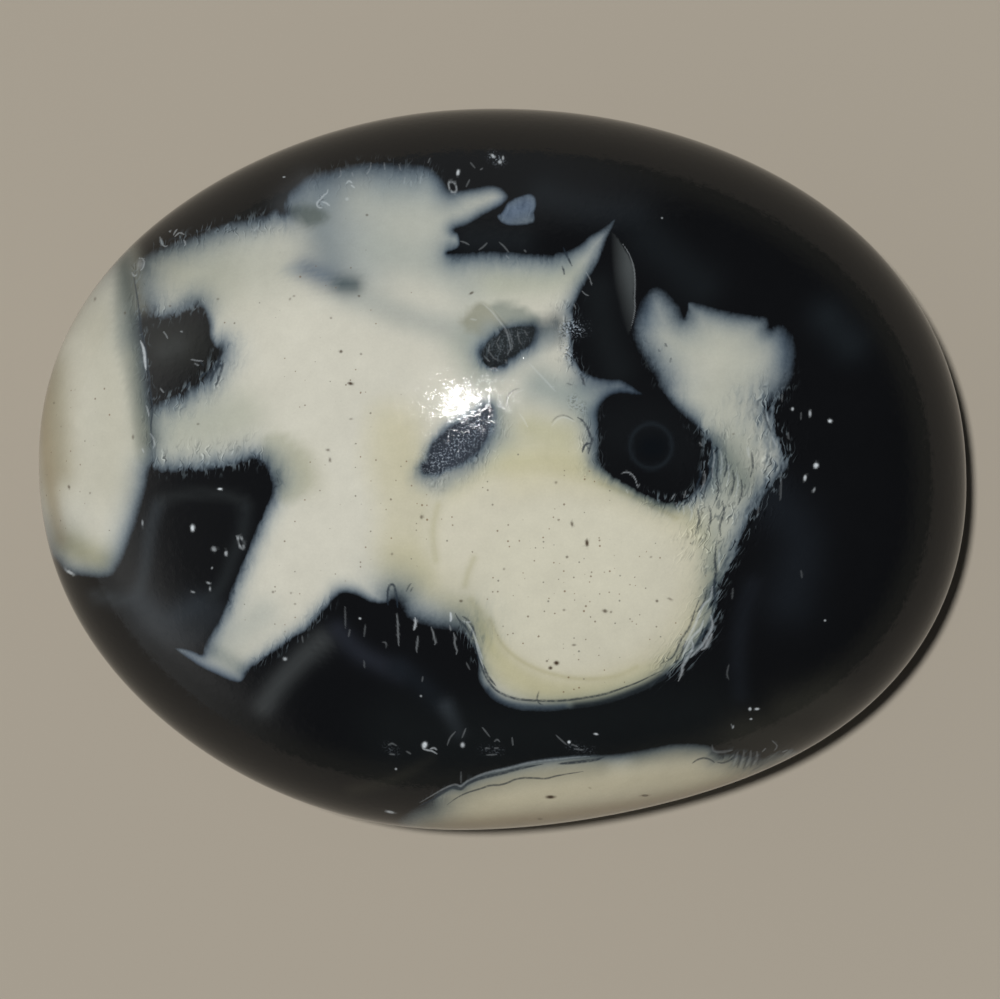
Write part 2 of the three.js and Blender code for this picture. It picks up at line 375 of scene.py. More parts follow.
# The same in the black
darkMarks = {
    "windowLeft": ((47, 52, 56), 0.6, 7, [[(158, 505), (150, 530), (146, 560), (138, 592), (122, 600),
        (95, 596)]]),
    "windowTop": ((38, 41, 42), 0.5, 6, [[(162, 499), (190, 494), (225, 495), (245, 503)]]),
    "windowRight": ((37, 41, 43), 0.5, 7, [[(246, 508), (242, 535), (232, 560), (222, 585), (205, 602)]]),
    # Painted reflection: the window foot's two veils and the leg's left veil are the window's glow painted
    # into the black
    "windowFoot": ((42, 48, 54), 0.65, 15, [[(142, 605), (165, 622), (195, 608)]]),
    "windowFootLowReflection": ((38, 42, 46), 0.6, 14, [[(150, 622), (185, 640), (215, 612)]]),
    "legReflectionLeft": ((58, 61, 62), 0.8, 11, [[(322, 640), (312, 649), (300, 660), (280, 682),
        (264, 706)]]),
    "legShadeRight": ((34, 37, 44), 0.8, 10, [[(338, 630), (352, 646), (372, 660), (400, 672)]]),
    "diagonal": ((22, 26, 31), 0.8, 11, [[(398, 668), (420, 683), (440, 704)]]),
    "diagonalFoot": ((58, 64, 70), 0.85, 8, [[(446, 708), (458, 732)]]),
    "footArc": ((44, 43, 38), 0.45, 6, [[(352, 790), (385, 783), (412, 770), (432, 758)]]),
    "rightSeam": ((30, 34, 40), 0.45, 9, [[(752, 585), (742, 620), (738, 660), (740, 695)]]),
    "rightVeil": ((26, 30, 35), 0.7, 26, [[(775, 500), (800, 540), (790, 600)]]),
    "spikeVeil": ((23, 26, 28), 0.8, 18, [[(598, 290), (604, 330), (618, 368)]]),
    "lowerBlack": ((21, 24, 25), 0.8, 40, [[(400, 735), (500, 740), (600, 728), (700, 715)]]),
    "upperVeil": ((26, 30, 34), 0.7, 18, [[(545, 195), (590, 208), (632, 214)]]),
    "fractureVeil": ((26, 30, 33), 0.6, 22, [[(650, 240), (680, 268), (700, 285)]]),
    "lobeVeil": ((29, 34, 38), 0.7, 20, [[(828, 318), (850, 342)]]),
    "lowerVeil": ((42, 42, 38), 0.6, 24, [[(790, 712), (830, 700)], [(745, 735), (790, 735)]]),
    "cornerVeil": ((60, 63, 66), 0.55, 14, [[(285, 205), (292, 196), (306, 184)]]),
    "spotVeil": ((52, 55, 57), 0.7, 10, [[(165, 350), (178, 345)]]),
    "spotSpread": ((32, 34, 31), 0.6, 26, [[(165, 345), (190, 345)]]),
    "eyeVeil": ((19, 21, 23), 0.8, 30, [[(620, 430), (650, 425), (680, 445)]]),
    "eyeHeart": ((10, 14, 18), 0.9, 14, [[(650, 447), (656, 447)]]),
    "longSpotFill": ((62, 68, 78), 0.9, 22, [[(445, 460), (480, 425)]]),
    "fibrousFill": ((42, 47, 49), 0.9, 20, [[(498, 345), (520, 335)]]),
    "jointVeil": ((98, 100, 93), 0.9, 9, [[(131, 250), (136, 275), (140, 305)]]),
    "notchVeil": ((30, 34, 37), 0.5, 16, [[(470, 240), (520, 240)]]),
}

# Fine dark lines: half width in pixels, strength, then the lines
darkLines = {
    "wedgeSlits": (0.95, 0.9, [[(563, 247), (566, 254), (569, 260), (572, 266)],
        [(562, 266), (563.5, 270), (564.5, 275)]]),
    "eyeCrack": (1.1, 0.95, [[(577, 417), (583, 421), (587, 427), (590, 435), (592, 440), (590, 447),
        (588, 455)], [(591, 443), (585, 445), (582, 453)], [(581, 374), (583, 380), (585, 386)]]),
    "arcs": (0.76, 0.5, [[(521, 388), (514, 390), (508, 396), (507, 403), (508.5, 408)],
        [(551, 423), (557, 417), (565, 415.5), (574, 420)], [(566, 383), (572, 385)]]),
    "sliverCrack": (1.0, 0.85, [[(133, 272), (136, 290), (139, 310), (141, 330), (145.5, 348), (147, 366),
        (149, 376), (150, 390), (152, 402), (152.5, 412), (151, 425), (152, 442), (154, 447)]]),
    "spotFibres": (1.1, 0.85, [[(216, 360), (214, 366), (209, 372), (205, 380)],
        [(219, 358), (218, 366), (214, 373), (210, 382)],
        [(223, 360), (222, 368), (219, 377), (216, 386)], [(206, 372), (200, 378)],
        [(190, 382), (186, 389)]]),
    "armTopFibres": (0.76, 0.54, [[(231, 222), (232, 229), (234, 233)], [(246, 221), (248, 227)],
        [(256, 217), (258, 224)], [(262, 215), (264, 223)], [(268, 214), (270, 221)],
        [(167.5, 244.6), (169, 240.6), (173, 238.3), (180, 238.8), (183, 238.3)],
        [(195, 232.5), (200, 231.3), (206, 229), (210, 225.5)]]),
    "loop": (1.1, 0.9, [[(388, 605), (387.5, 598), (388, 590), (390, 585.5), (393, 584.5), (395.5, 590),
        (397, 600), (397.5, 608)], [(387, 599), (388, 603)]]),
    "crookStrokes": (0.82, 0.63, [[(406, 592), (409, 586), (411.5, 583)], [(410, 592), (413, 587)]]),
    "bellyCrack": (0.95, 0.85, [[(455, 613), (459, 620), (465, 626), (470, 634), (473, 642), (475, 650)],
        [(462, 616), (468, 620), (473, 628), (476, 638)]]),
    "discContour": (1.15, 0.85, [[(470, 629), (474, 640), (477, 652), (481, 665), (487, 679), (496, 690),
        (507, 696), (520, 699.5), (535, 700.5), (546, 701), (560, 700.8), (575, 699.3), (590, 697),
        (605, 694), (620, 689), (635, 683.5), (648, 677.5), (661, 671)],
        [(483, 664), (488, 676), (496, 686)]]),
    "discHook": (0.88, 0.72, [[(539, 691), (537, 699), (539, 703), (543, 705)]]),
    "bandLine": (0.9, 0.8, [[(447, 805), (455, 799), (463, 794.5), (471, 791.5), (481, 788.5),
        (490, 785.5), (499, 785), (507, 783), (515, 779.5), (523, 778), (533, 778), (546, 778.5),
        (556, 776), (570, 773.5), (583, 771.5)],
        [(692, 763.5), (697, 760), (704, 758), (711, 760), (715, 763)],
        [(717, 762), (722, 763), (728, 761), (735, 757), (740, 755)]]),
    "bandFingers": (1.1, 0.6, [[(741, 753), (740, 760), (737, 768)], [(748, 752), (747, 760), (743, 769)],
        [(754, 752), (753, 760), (750, 768)], [(760, 752), (759, 759), (757, 765)]]),
    "bandShade": (1.5, 0.9, [[(418, 806.5), (432, 799.5), (445, 791), (453, 787.5), (461, 789),
        (466, 784.5), (478, 779), (492, 775.5), (505, 772.5), (520, 768.5), (535, 765.5), (543, 764)],
        [(558, 764), (575, 762.3), (586, 761), (597, 759.5), (604, 757)]]),
    "lobeNicks": (0.88, 0.63, [[(658, 349), (660, 352)], [(671, 358), (670, 363)],
        [(665, 343), (667, 347)], [(648, 356), (651, 361)]]),
    "rightFissures": (0.95, 0.81, [[(711, 446), (712.5, 457), (710, 467), (711, 477), (706, 487),
        (704, 498)], [(716, 449), (718, 462), (716.5, 475), (719, 488), (716, 500)],
        [(699, 466), (701, 475), (697, 485), (695, 493)], [(725, 455), (727, 466), (724, 478)],
        [(733, 470), (734, 482), (731, 496)], [(741, 478), (742, 492), (738, 505)],
        [(722, 500), (724, 512), (720, 526), (721, 538)], [(709, 505), (711, 518), (707, 532)],
        [(697, 507), (699, 520), (696, 530)], [(752, 452), (753, 466), (750, 478)],
        [(764, 408), (766, 420), (771, 432)],
        [(699, 600.5), (694, 613), (690, 626), (681, 640), (674, 655.5), (665, 662.5)],
        [(703.5, 626), (699, 640), (692, 649)], [(707, 590), (704, 602), (697, 612)],
        [(709, 622), (704, 634), (700, 641)], [(686, 640), (682, 652), (676, 663)]]),
    "fringeFissure": (1.2, 0.95, [[(716, 546), (715, 560), (716, 572), (714, 586), (715, 600),
        (711, 616)]]),
    "hookLeft": (0.82, 0.54, [[(204, 366), (200, 361)], [(277, 478), (279, 484)],
        [(259, 462), (262, 466)]]),
    "underWedge": (0.57, 0.25, [[(493, 309), (507, 328)]]),
}

# Fine light lines, the same way. The eye's glint, the foot glint's tail and the fracture's bright rim are
# painted glints
lightLines = {
    "sliverChip": (1.3, 1.0, [[(140.5, 341), (143, 347), (144.5, 354), (145, 362), (146, 370)]]),
    "sliverLow": (0.79, 0.41, [[(150, 433), (153, 438), (154.5, 444), (153, 449)],
        [(142, 448), (144, 453)], [(146, 405), (148, 411), (149, 417)]]),
    "armFolds": (0.7, 0.5, [[(159.6, 236), (161, 240.6), (162.3, 244), (164.6, 246.4), (167.5, 245.8)],
        [(173.3, 235.4), (175, 232), (177.4, 229)], [(169, 230.7), (171, 232)],
        [(174.5, 237), (179, 233), (182.6, 233.6), (185, 234.8)],
        [(183.7, 239.4), (185.5, 243.5), (184.5, 246)],
        [(139, 258), (142.6, 259), (144.3, 262.6), (142.6, 268.4), (139.7, 270.7)],
        [(131.8, 272.4), (134, 275.9), (136.8, 274.8)]]),
    "shoulderFolds": (0.85, 0.55, [[(328, 189), (327, 193), (323, 196), (320, 200), (317, 203),
        (318, 207), (323, 208)], [(322, 202), (326, 203), (330, 206)],
        [(346, 184), (349, 181), (352, 183)], [(351, 185), (355, 188)]]),
    "shoulderHooks": (0.68, 0.22, [[(340, 168), (341, 175), (338, 178)],
        [(371, 162), (370, 169), (366, 175)], [(384, 162), (385, 170)], [(399, 164), (401, 171)],
        [(405, 177), (404, 184)], [(411, 180), (411, 187)], [(421, 176), (420, 184)],
        [(352, 172), (353, 177)], [(430, 158), (428, 163)]]),
    "spotHairs": (0.55, 0.45, [[(163, 331), (166, 335), (168, 339)],
        [(190, 359), (196, 360.5), (203, 361)], [(194, 363), (199, 366)], [(160, 388), (164, 393)],
        [(180, 331), (183, 332)]]),
    "fibrousHairs": (0.6, 0.18, [[(508, 329), (511, 338), (513, 350)], [(504, 330), (507, 334)],
        [(496, 342), (500, 350)], [(517, 330), (519, 340), (522, 345)],
        [(488, 350), (494, 358), (500, 361)], [(490, 344), (488, 352)], [(512, 345), (507, 356)],
        [(524, 330), (528, 336)], [(500, 336), (497, 342)], [(484, 356), (490, 362)]]),
    "fractureRimGlint": (0.55, 0.38, [[(622, 243), (628, 252), (632, 261), (634.5, 272), (635, 285),
        (634.5, 298), (635, 308), (633.5, 318), (631, 328)]]),
    "spikeNotch": (0.55, 0.3, [[(586, 272), (590, 279), (592, 286)], [(582, 291), (585, 294), (589, 296)],
        [(590, 281), (592, 284)], [(574, 304), (576, 309)]]),
    "eyeGlint": (0.55, 0.55, [[(620.5, 474.5), (624, 472.3), (628.5, 472.3), (633, 475.5), (636, 481),
        (637.3, 487)]]),
    "eyeHooks": (0.61, 0.3, [[(626, 489), (628, 494)], [(637, 488), (640, 484)], [(671, 500), (675, 494)],
        [(684, 498), (686, 490)], [(699, 442), (702, 446)], [(690, 505), (694, 497)]]),
    "hairs": (0.85, 0.32, [[(396.5, 612), (397.7, 622), (398, 632), (398.8, 646)],
        [(418, 635), (417.5, 642), (416.5, 648), (416.8, 653)],
        [(431, 627), (433, 632), (434.3, 638), (435.5, 643), (434, 645)],
        [(453, 632), (455, 638), (454.5, 643), (456, 648), (457, 651), (456, 655)],
        [(449.5, 625), (451, 631)]]),
    "hairsBright": (1.1, 0.9, [[(415, 617.5), (415.7, 622), (415, 626), (413.8, 630)],
        [(450.5, 612), (451, 618), (450.5, 622)]]),
    "hairsFaint": (0.75, 0.16, [[(345, 606), (345.5, 628)], [(350, 629), (348.5, 637)],
        [(365.5, 624), (364, 637)], [(423, 676), (422, 682)], [(364, 660), (364.5, 668)],
        [(382, 642), (386, 643), (386, 648)], [(466, 662), (470, 670)], [(461, 771), (461, 784)],
        [(302, 636), (303, 643)]]),
    "bellyEdge": (0.85, 0.45, [[(462, 620), (468, 624), (474, 634), (477, 646), (480, 658), (484, 668)],
        [(466, 622), (471, 622)], [(476, 640), (480, 652), (483, 660)]]),
    "arcsLight": (0.73, 0.3, [[(552, 426), (558, 419), (566, 417.5), (575, 422)],
        [(523, 390), (516, 393), (511, 398)], [(519, 413), (524, 420), (528, 428)],
        [(528, 362), (545, 380), (556, 392)]]),
    "lensLines": (0.85, 0.3, [[(482, 303), (492, 312), (500, 322), (506, 330), (509, 340), (511, 350)],
        [(470, 319), (477, 320)]]),
    "fissureLight": (0.79, 0.34, [[(713, 448), (714.5, 458), (712.5, 470), (713, 480)],
        [(720, 449), (722, 462), (720, 476)], [(728, 462), (729, 474), (727, 486)],
        [(737, 472), (738, 486), (735, 498)], [(704, 470), (705, 480), (700, 492)],
        [(688, 503), (692, 512), (690, 522)], [(676, 503), (679, 512)], [(683, 502), (684, 515)],
        [(748, 446), (749, 458)], [(772, 436), (776, 446)], [(719, 548), (719, 562), (720, 572)],
        [(767, 412), (768, 422)]]),
    "fringeRoots": (1.25, 0.55, [[(712.5, 584.5), (710.5, 598), (703.5, 605), (699, 614.5),
        (695.5, 623.5), (690, 635), (683, 648.5)],
        [(703.5, 619), (701, 628), (692, 637.5), (685, 651), (682, 658)],
        [(710.5, 614.5), (712.5, 626), (706, 639.5), (699, 648.5), (690, 658)],
        [(712.5, 633), (706, 646.5), (701, 650)],
        [(691, 637.5), (693, 646.5), (690, 653.5), (683, 665), (682, 672), (678.5, 681)]]),
    "bandRibbon": (1.0, 0.3, [[(420, 802.5), (432, 795.5), (445, 788), (455, 784.5), (461, 786),
        (467, 781.5), (478, 776), (490, 772), (505, 769), (520, 765), (532, 762.3), (545, 760.5),
        (560, 759), (575, 757.3), (590, 756.5)]]),
    "bandFingersLight": (1.2, 0.2, [[(738, 752), (736, 758), (733, 766)],
        [(744, 751), (743, 758), (740, 768)], [(751, 750), (750, 758), (746, 767)],
        [(757, 751), (757, 758), (753, 765)], [(712, 745), (714, 751), (722, 752), (733, 750)]]),
    "rightHairs": (0.75, 0.15, [[(781, 476), (781, 492), (780, 502)], [(782, 394), (782, 402)],
        [(801, 412), (801, 420)], [(733, 588), (732, 600)], [(752, 498), (750, 508)],
        [(759, 506), (757, 516)], [(801, 570), (802, 578)], [(788, 432), (789, 440)],
        [(729, 664), (727, 674), (729, 680)]]),
    "wedgeHairs": (0.75, 0.2, [[(460, 241), (465, 242.5), (469.5, 245)],
        [(478.5, 250), (483, 247), (487.5, 242.5)], [(499, 242), (504, 246.5), (509, 252.5)],
        [(505.5, 255), (509.5, 259)], [(524, 249.5), (526, 252)], [(470, 162), (475, 168)],
        [(466, 187), (470, 179)], [(480, 170), (483, 168)]]),
    "glintTail": (0.85, 0.64, [[(424, 742), (423, 748), (427, 750), (432, 751), (437, 754)],
        [(430, 749), (434, 748), (437, 750)]]),
    "footScratches": (0.75, 0.2, [[(388, 745), (392, 743.5), (397, 746)], [(389, 754), (395, 754.5)],
        [(406, 751), (411, 754)], [(447, 746), (450, 738), (456, 731)],
        [(482, 727), (486, 732), (490, 737)], [(494, 742), (497, 739.5), (500, 742)],
        [(485, 748), (490, 748.5)], [(494, 748), (499, 748)], [(486, 755), (497, 754.5)],
        [(512, 737), (513, 746)], [(556, 735), (560, 739), (567, 745)], [(571, 744), (578, 747)],
        [(574, 749), (584, 750)], [(466, 728), (462, 738)]]),
    "lowerHooks": (0.61, 0.3, [[(772, 740), (777, 746), (774, 751)], [(731, 724), (733, 728)],
        [(782, 752), (788, 750)], [(762, 752), (766, 748)]]),
}

# Small light chips and painted glints, where pits catch the light: middle, radii, turn in degrees, strength
chipsAndGlints = {
    "armChip": ((140, 264.5), (3.2, 5.6), 4, 0.15), "windowGlint": ((192.5, 528), (1.64, 2.89), 0, 0.85),
    "windowUpper": ((220, 489), (2.03, 0.94), 0, 0.81),
    "windowRight": ((214, 549), (2.03, 2.18), -40, 0.32),
    "windowLow": ((226, 553.5), (1.4, 2.18), 0, 0.45), "windowDots": ((212, 568), (0.86, 0.86), 0, 0.45),
    "windowArc": ((208.5, 583), (2.03, 0.78), 20, 0.45),
    "windowArcLow": ((210, 589), (0.94, 1.72), 0, 0.36),
    "windowFoot": ((193, 592), (1.87, 0.78), 15, 0.36),
    "leftGlint": ((70, 572.5), (4.68, 1.33), 28, 0.54),
    "leftFaint": ((142.5, 523), (0.94, 2.65), 0, 0.27), "legRing": ((285, 659), (1.79, 1.4), 0, 0.45),
    "legDot": ((360, 618.5), (0.94, 0.94), 0, 0.72), "shoulderSpot": ((347, 199), (1.56, 1.56), 0, 0.23),
    "beakChip": ((458, 172.5), (1.4, 2.57), 10, 0.72), "beakRuin": ((493, 156), (2.5, 1.25), 40, 0.54),
    "beakRuinLow": ((500, 162), (1.72, 1.72), 0, 0.5), "beakRuinEnd": ((503, 158), (0.94, 2.03), 0, 0.45),
    "rightOne": ((792.5, 409), (1.17, 1.48), 0, 0.63), "rightTwo": ((810, 413.5), (1.25, 2.96), 0, 0.45),
    "rightThree": ((830, 421), (1.72, 1.48), 0, 0.85),
    "rightFour": ((816, 465.5), (1.95, 2.26), 20, 0.85),
    "rightFive": ((805, 478), (1.33, 2.73), 10, 0.68), "rightSix": ((814, 490), (1.09, 2.03), 25, 0.32),
    "lowDot": ((825, 620.5), (0.94, 0.94), 0, 0.54), "footDot": ((421, 696), (0.94, 0.94), 0, 0.45),
    "footMain": ((424.5, 745), (2.18, 2.81), 15, 0.9), "footNext": ((462.5, 745), (1.72, 2.18), 0, 0.54),
    "footPair": ((569, 742), (1.33, 1.33), 0, 0.85),
    "footPairUpper": ((596, 734), (1.87, 0.94), 10, 0.68), "footBar": ((390, 812), (3.9, 1.17), 12, 0.54),
    "footSpot": ((396, 769), (1.01, 1.01), 0, 0.45), "lowPair": ((750, 709), (1.4, 1.4), 0, 0.72),
    "lowPairRight": ((757, 709), (2.03, 1.01), 0, 0.72),
    "lowPairUnder": ((751, 719), (1.25, 0.78), 0, 0.54), "lowDash": ((733, 727), (0.94, 1.56), 20, 0.36),
    "topDot": ((284, 177), (1.25, 0.7), 0, 0.45), "topDotRight": ((662, 218), (0.86, 0.86), 0, 0.36),
}

# Outlined chips, their light rims partly painted glints: middle, radii, turn in degrees, strength
ringedChipsAndGlints = {
    "beakRing": ((452.5, 187), (3.4, 5.8), -25, 0.3), "windowRing": ((241, 542.5), (2.6, 5.8), -20, 0.35),
}

# Faint rings in the black: middle, radii, turn in degrees, strength
rings = {
    "eye": ((651, 446), (21, 22), 0, 0.6),
}

# Brown and grey pits in the polish: middle, radii, turn in degrees, strength
pits = {
    "chest": ((350.5, 383.5), (2.6, 1.5), 15, 1.0), "chestUpper": ((341, 351.5), (1.5, 1.5), 0, 0.9),
    "chestRight": ((361, 354), (1.1, 1.1), 0, 0.6), "upper": ((359, 296), (1.2, 1.0), 0, 0.7),
    "wedge": ((471.5, 293), (2.2, 1.1), -30, 0.8), "shoulder": ((367, 215), (1.3, 1.1), 0, 0.6),
    "discTop": ((572, 524), (1.3, 2.6), -12, 0.8), "discHeart": ((587, 543), (1.6, 3.3), 0, 1.0),
    "discLeft": ((567, 557), (1.2, 1.2), 0, 0.8), "discMiddle": ((605, 611), (2.1, 1.7), 20, 0.8),
    "discMiddleRight": ((611, 612), (1.1, 1.1), 0, 0.6), "discLow": ((556.5, 663), (2.4, 2.0), 10, 1.0),
    "discLowLeft": ((550.5, 668), (1.9, 1.6), 0, 0.95), "discLowUpper": ((547, 661), (1.1, 0.9), 0, 0.8),
    "discFoot": ((574, 645), (2.0, 1.1), 0, 0.6), "discSide": ((657, 601), (1.3, 1.3), 0, 0.8),
    "discHook": ((670, 599), (2.6, 1.1), 25, 0.5), "discEdge": ((651, 557), (1.2, 1.0), 0, 0.5),
    "discDot": ((564, 610), (1.3, 1.0), 0, 0.6), "discDotLeft": ((504, 569), (1.1, 1.1), 0, 0.5),
    "discDotUpper": ((558.5, 520), (1.0, 1.0), 0, 0.6), "belly": ((461, 601), (1.7, 1.3), 0, 0.7),
    "bellyLeft": ((421.5, 517), (1.4, 2.0), 0, 0.7), "crook": ((392, 554), (1.2, 1.2), 0, 0.5),
    "legOne": ((273, 592), (1.2, 1.2), 0, 0.6), "legTwo": ((291, 593), (1.0, 1.0), 0, 0.5),
    "legThree": ((295, 604), (1.2, 0.9), 0, 0.5), "armOne": ((218, 299), (1.2, 1.0), 0, 0.5),
    "armTwo": ((331, 318), (1.0, 1.0), 0, 0.6), "armThree": ((290, 299), (1.0, 1.4), 20, 0.5),
    "armFour": ((294, 296), (1.4, 0.9), 0, 0.5), "armFive": ((170, 306), (1.2, 1.0), 0, 0.6),
    "armSix": ((198, 424), (1.4, 1.0), 0, 0.5), "chestMark": ((328, 450), (1.6, 1.2), 0, 0.7),
    "chestMarkLow": ((330, 460), (1.2, 2.0), 0, 0.7), "chestMarkFoot": ((351, 419), (1.8, 0.9), 0, 0.5),
    "sliverOne": ((69, 487), (1.2, 1.8), -20, 0.7), "sliverTwo": ((133, 437), (1.1, 2.0), 0, 0.6),
    "sliverThree": ((90, 493), (1.0, 1.0), 0, 0.5), "sliverFour": ((95, 299), (1.2, 1.8), 20, 0.5),
    "sliverFive": ((125, 313), (1.0, 1.2), 0, 0.6), "sliverSix": ((54, 403), (1.0, 1.0), 0, 0.5),
    "band": ((550.5, 797), (4.2, 1.6), 0, 1.0), "bandRight": ((645, 795.5), (3.5, 1.0), 0, 0.8),
    "bandLow": ((540, 819), (2.4, 1.0), 0, 0.4), "bandMark": ((590, 788), (1.6, 0.9), 20, 0.3),
    "lobeOne": ((733.5, 434), (1.1, 1.0), 0, 0.5), "noseOne": ((556, 482.5), (1.3, 1.2), 0, 0.6),
}

# Where the polish has torn into light and dark crumbs, where tiny specks crowd and where fibres show:
# how far it spreads in pixels, strength, then the marks. By the highlight, light crumbs are partly a painted
# sparkle
crumbsAndSparkle = {
    "notch": (6, 1.0, [[(566, 331), (571, 326), (577, 329)]]),
    "notchLow": (4, 0.7, [[(564, 347), (571, 358)]]),
    "brow": (3, 0.5, [[(572, 398), (575, 404)], [(581, 404), (583, 411)]]),
    "shoulder": (3, 0.4, [[(322, 197), (320, 205)]]),
    "fibrous": (12, 0.12, [[(498, 350), (518, 336)]]),
    # by the highlight: partly a painted sparkle
    "long": (13, 0.6, [[(436, 462), (458, 444), (478, 424)]]),
    "beak": (4, 0.6, [[(492, 156), (500, 161)]]),
    "foot": (4, 0.12, [[(388, 746), (396, 752)], [(484, 750), (500, 751)], [(570, 746), (590, 750)]]),
}
speckled = {
    "disc": (85, 1.0, [[(560, 560), (610, 600)]]),
    "belly": (60, 0.4, [[(350, 480), (420, 520)]]),
    "leg": (45, 0.4, [[(270, 590), (310, 560)]]),
    "sliver": (40, 0.4, [[(90, 420), (80, 500)]]),
    "chest": (60, 0.3, [[(330, 380), (300, 300)]]),
}
wrinkled = {
    "armUnder": (15, 1.0, [[(165, 462), (215, 460), (250, 456)]]),
    "armTop": (10, 0.9, [[(160, 240), (215, 232), (268, 220)]]),
    "shoulder": (14, 0.35, [[(320, 180), (370, 170), (430, 172)]]),
    "spotTop": (9, 0.8, [[(160, 316), (200, 306)]]),
    "legRight": (8, 0.6, [[(262, 660), (298, 636), (328, 610)]]),
    "spotUnder": (13, 1.0, [[(165, 402), (200, 386), (218, 362)]]),
    "sliver": (8, 0.7, [[(136, 270), (140, 330), (146, 380), (152, 440)]]),
    "bridge": (26, 1.0, [[(706, 450), (722, 500), (706, 540)]]),
    "bridgeRight": (24, 1.0, [[(774, 405), (778, 450), (760, 495), (744, 525)]]),
    "fringe": (18, 1.0, [[(724, 545), (714, 600), (702, 640), (672, 666)]]),
    "eyeUnder": (12, 1.0, [[(656, 500), (700, 494)]]),
    "eyeRight": (9, 0.8, [[(704, 440), (706, 480)]]),
    "belly": (8, 0.9, [[(464, 628), (476, 654)]]),
    "eyeLeft": (12, 0.6, [[(590, 420), (590, 460)]]),
    "lobeLeft": (9, 0.4, [[(648, 345), (660, 375)]]),
    "notch": (13, 0.9, [[(568, 310), (572, 370)]]),
    "fibrous": (12, 0.4, [[(495, 350), (520, 335)]]),
    "band": (8, 0.3, [[(430, 800), (470, 786)], [(730, 754), (780, 756)]]),
    "long": (13, 0.7, [[(440, 478), (480, 456), (495, 425)]]),
}


def markLoops(marks):
    return [roundedPath(line, False) if len(line) > 2 else np.array(line, float) for line in marks]


def lineDistance(places, path, reach):  # pixels from each place to a path, and the share of its length
    distance, share = np.full(len(places), brush["farAway"]), np.zeros(len(places))
    close = ((places > path.min(0) - reach) & (places < path.max(0) + reach)).all(1)
    if not close.any():
        return distance, share
    start, end = path[:-1], path[1:]
    gap, along = segmentDistance(places[close], start, end)
    lengths = np.hypot(*(end - start).T)
    before = np.concatenate([[0], np.cumsum(lengths)[:-1]])
    nearest, rows = gap.argmin(1), np.arange(close.sum())
    distance[close] = gap[rows, nearest]
    share[close] = (before[nearest] + along[rows, nearest] * lengths[nearest]) / lengths.sum()
    return distance, share


def markAmount(places, marks, spread):  # 1 on the marks, fading over the spread
    amount = np.zeros(len(places))
    for path in markLoops(marks):
        distance, _ = lineDistance(places, path, spread * brush["markReach"])
        amount = np.maximum(amount, np.exp(-(distance / spread) ** 2))
    return amount


def fineAmount(places, lines):  # fine lines, which thin out at both ends
    amount = np.zeros(len(places))
    for halfWidth, strength, marks in lines.values():
        for path in markLoops(marks):
            distance, share = lineDistance(places, path, halfWidth * brush["lineReach"])
            taper = np.clip(brush["taper"] * share * (1 - share), brush["thinnest"], 1) ** 0.5
            drawn = np.exp(-(distance / (halfWidth * taper)) ** 4 * brush["firm"])
            amount = np.maximum(amount, strength * drawn)
    return amount


def ovalPlace(places, middle, radii, turn):  # 1 on the rim of a turned oval, 0 at its middle
    angle = math.radians(turn)
    x, y = places[:, 0] - middle[0], places[:, 1] - middle[1]
    across, down = x * math.cos(angle) + y * math.sin(angle), y * math.cos(angle) - x * math.sin(angle)
    return np.hypot(across / radii[0], down / radii[1])


def dotAmount(places, dots):
    amount = np.zeros(len(places))
    for middle, radii, turn, strength in dots.values():
        drawn = np.exp(-brush["firm"] * ovalPlace(places, middle, radii, turn) ** 4)
        amount = np.maximum(amount, strength * drawn)
    return amount


def ringAmount(places, ovals, width):
    amount = np.zeros(len(places))
    for middle, radii, turn, strength in ovals.values():
        off = (ovalPlace(places, middle, radii, turn) - 1) * min(radii)
        amount = np.maximum(amount, strength * np.exp(-(off / width) ** 2))
    return amount


def blendMarks(base, places, marks):
    for colour, strength, spread, lines in marks.values():
        share = (strength * markAmount(places, lines, spread))[:, None]
        base = base * (1 - share) + linear(*colour) * share
    return base


def blendLenses(base, places, lenses):
    for colour, strength, edge, corners in lenses.values():
        depth, _ = patchDepth(places, {"all": (edge, 0, corners)}, edge)
        share = (strength * np.clip(depth * 0.5 + 0.5, 0, 1))[:, None]
        base = base * (1 - share) + linear(*colour) * share
    return base


# Shape

def ovalRadius(angle, power):  # distance from the middle to an oval outline in the direction of an angle
    across = np.abs(np.cos(angle) / form["halfLength"]) ** power
    down = np.abs(np.sin(angle) / form["halfWidth"]) ** power
    return (across + down) ** (-1 / power)


def beltRadius(angle):
    lobes = 1 + sum(cosine * np.cos(count * angle) + sine * np.sin(count * angle)
                    for count, cosine, sine in form["waves"])
    return ovalRadius(angle, form["cornerPower"]) * lobes


around = np.linspace(0, 2 * math.pi, 4000)
beltX, beltY = beltRadius(around) * np.cos(around), beltRadius(around) * np.sin(around)
formMiddle = np.array(((beltX.max() + beltX.min()) / 2, (beltY.max() + beltY.min()) / 2))


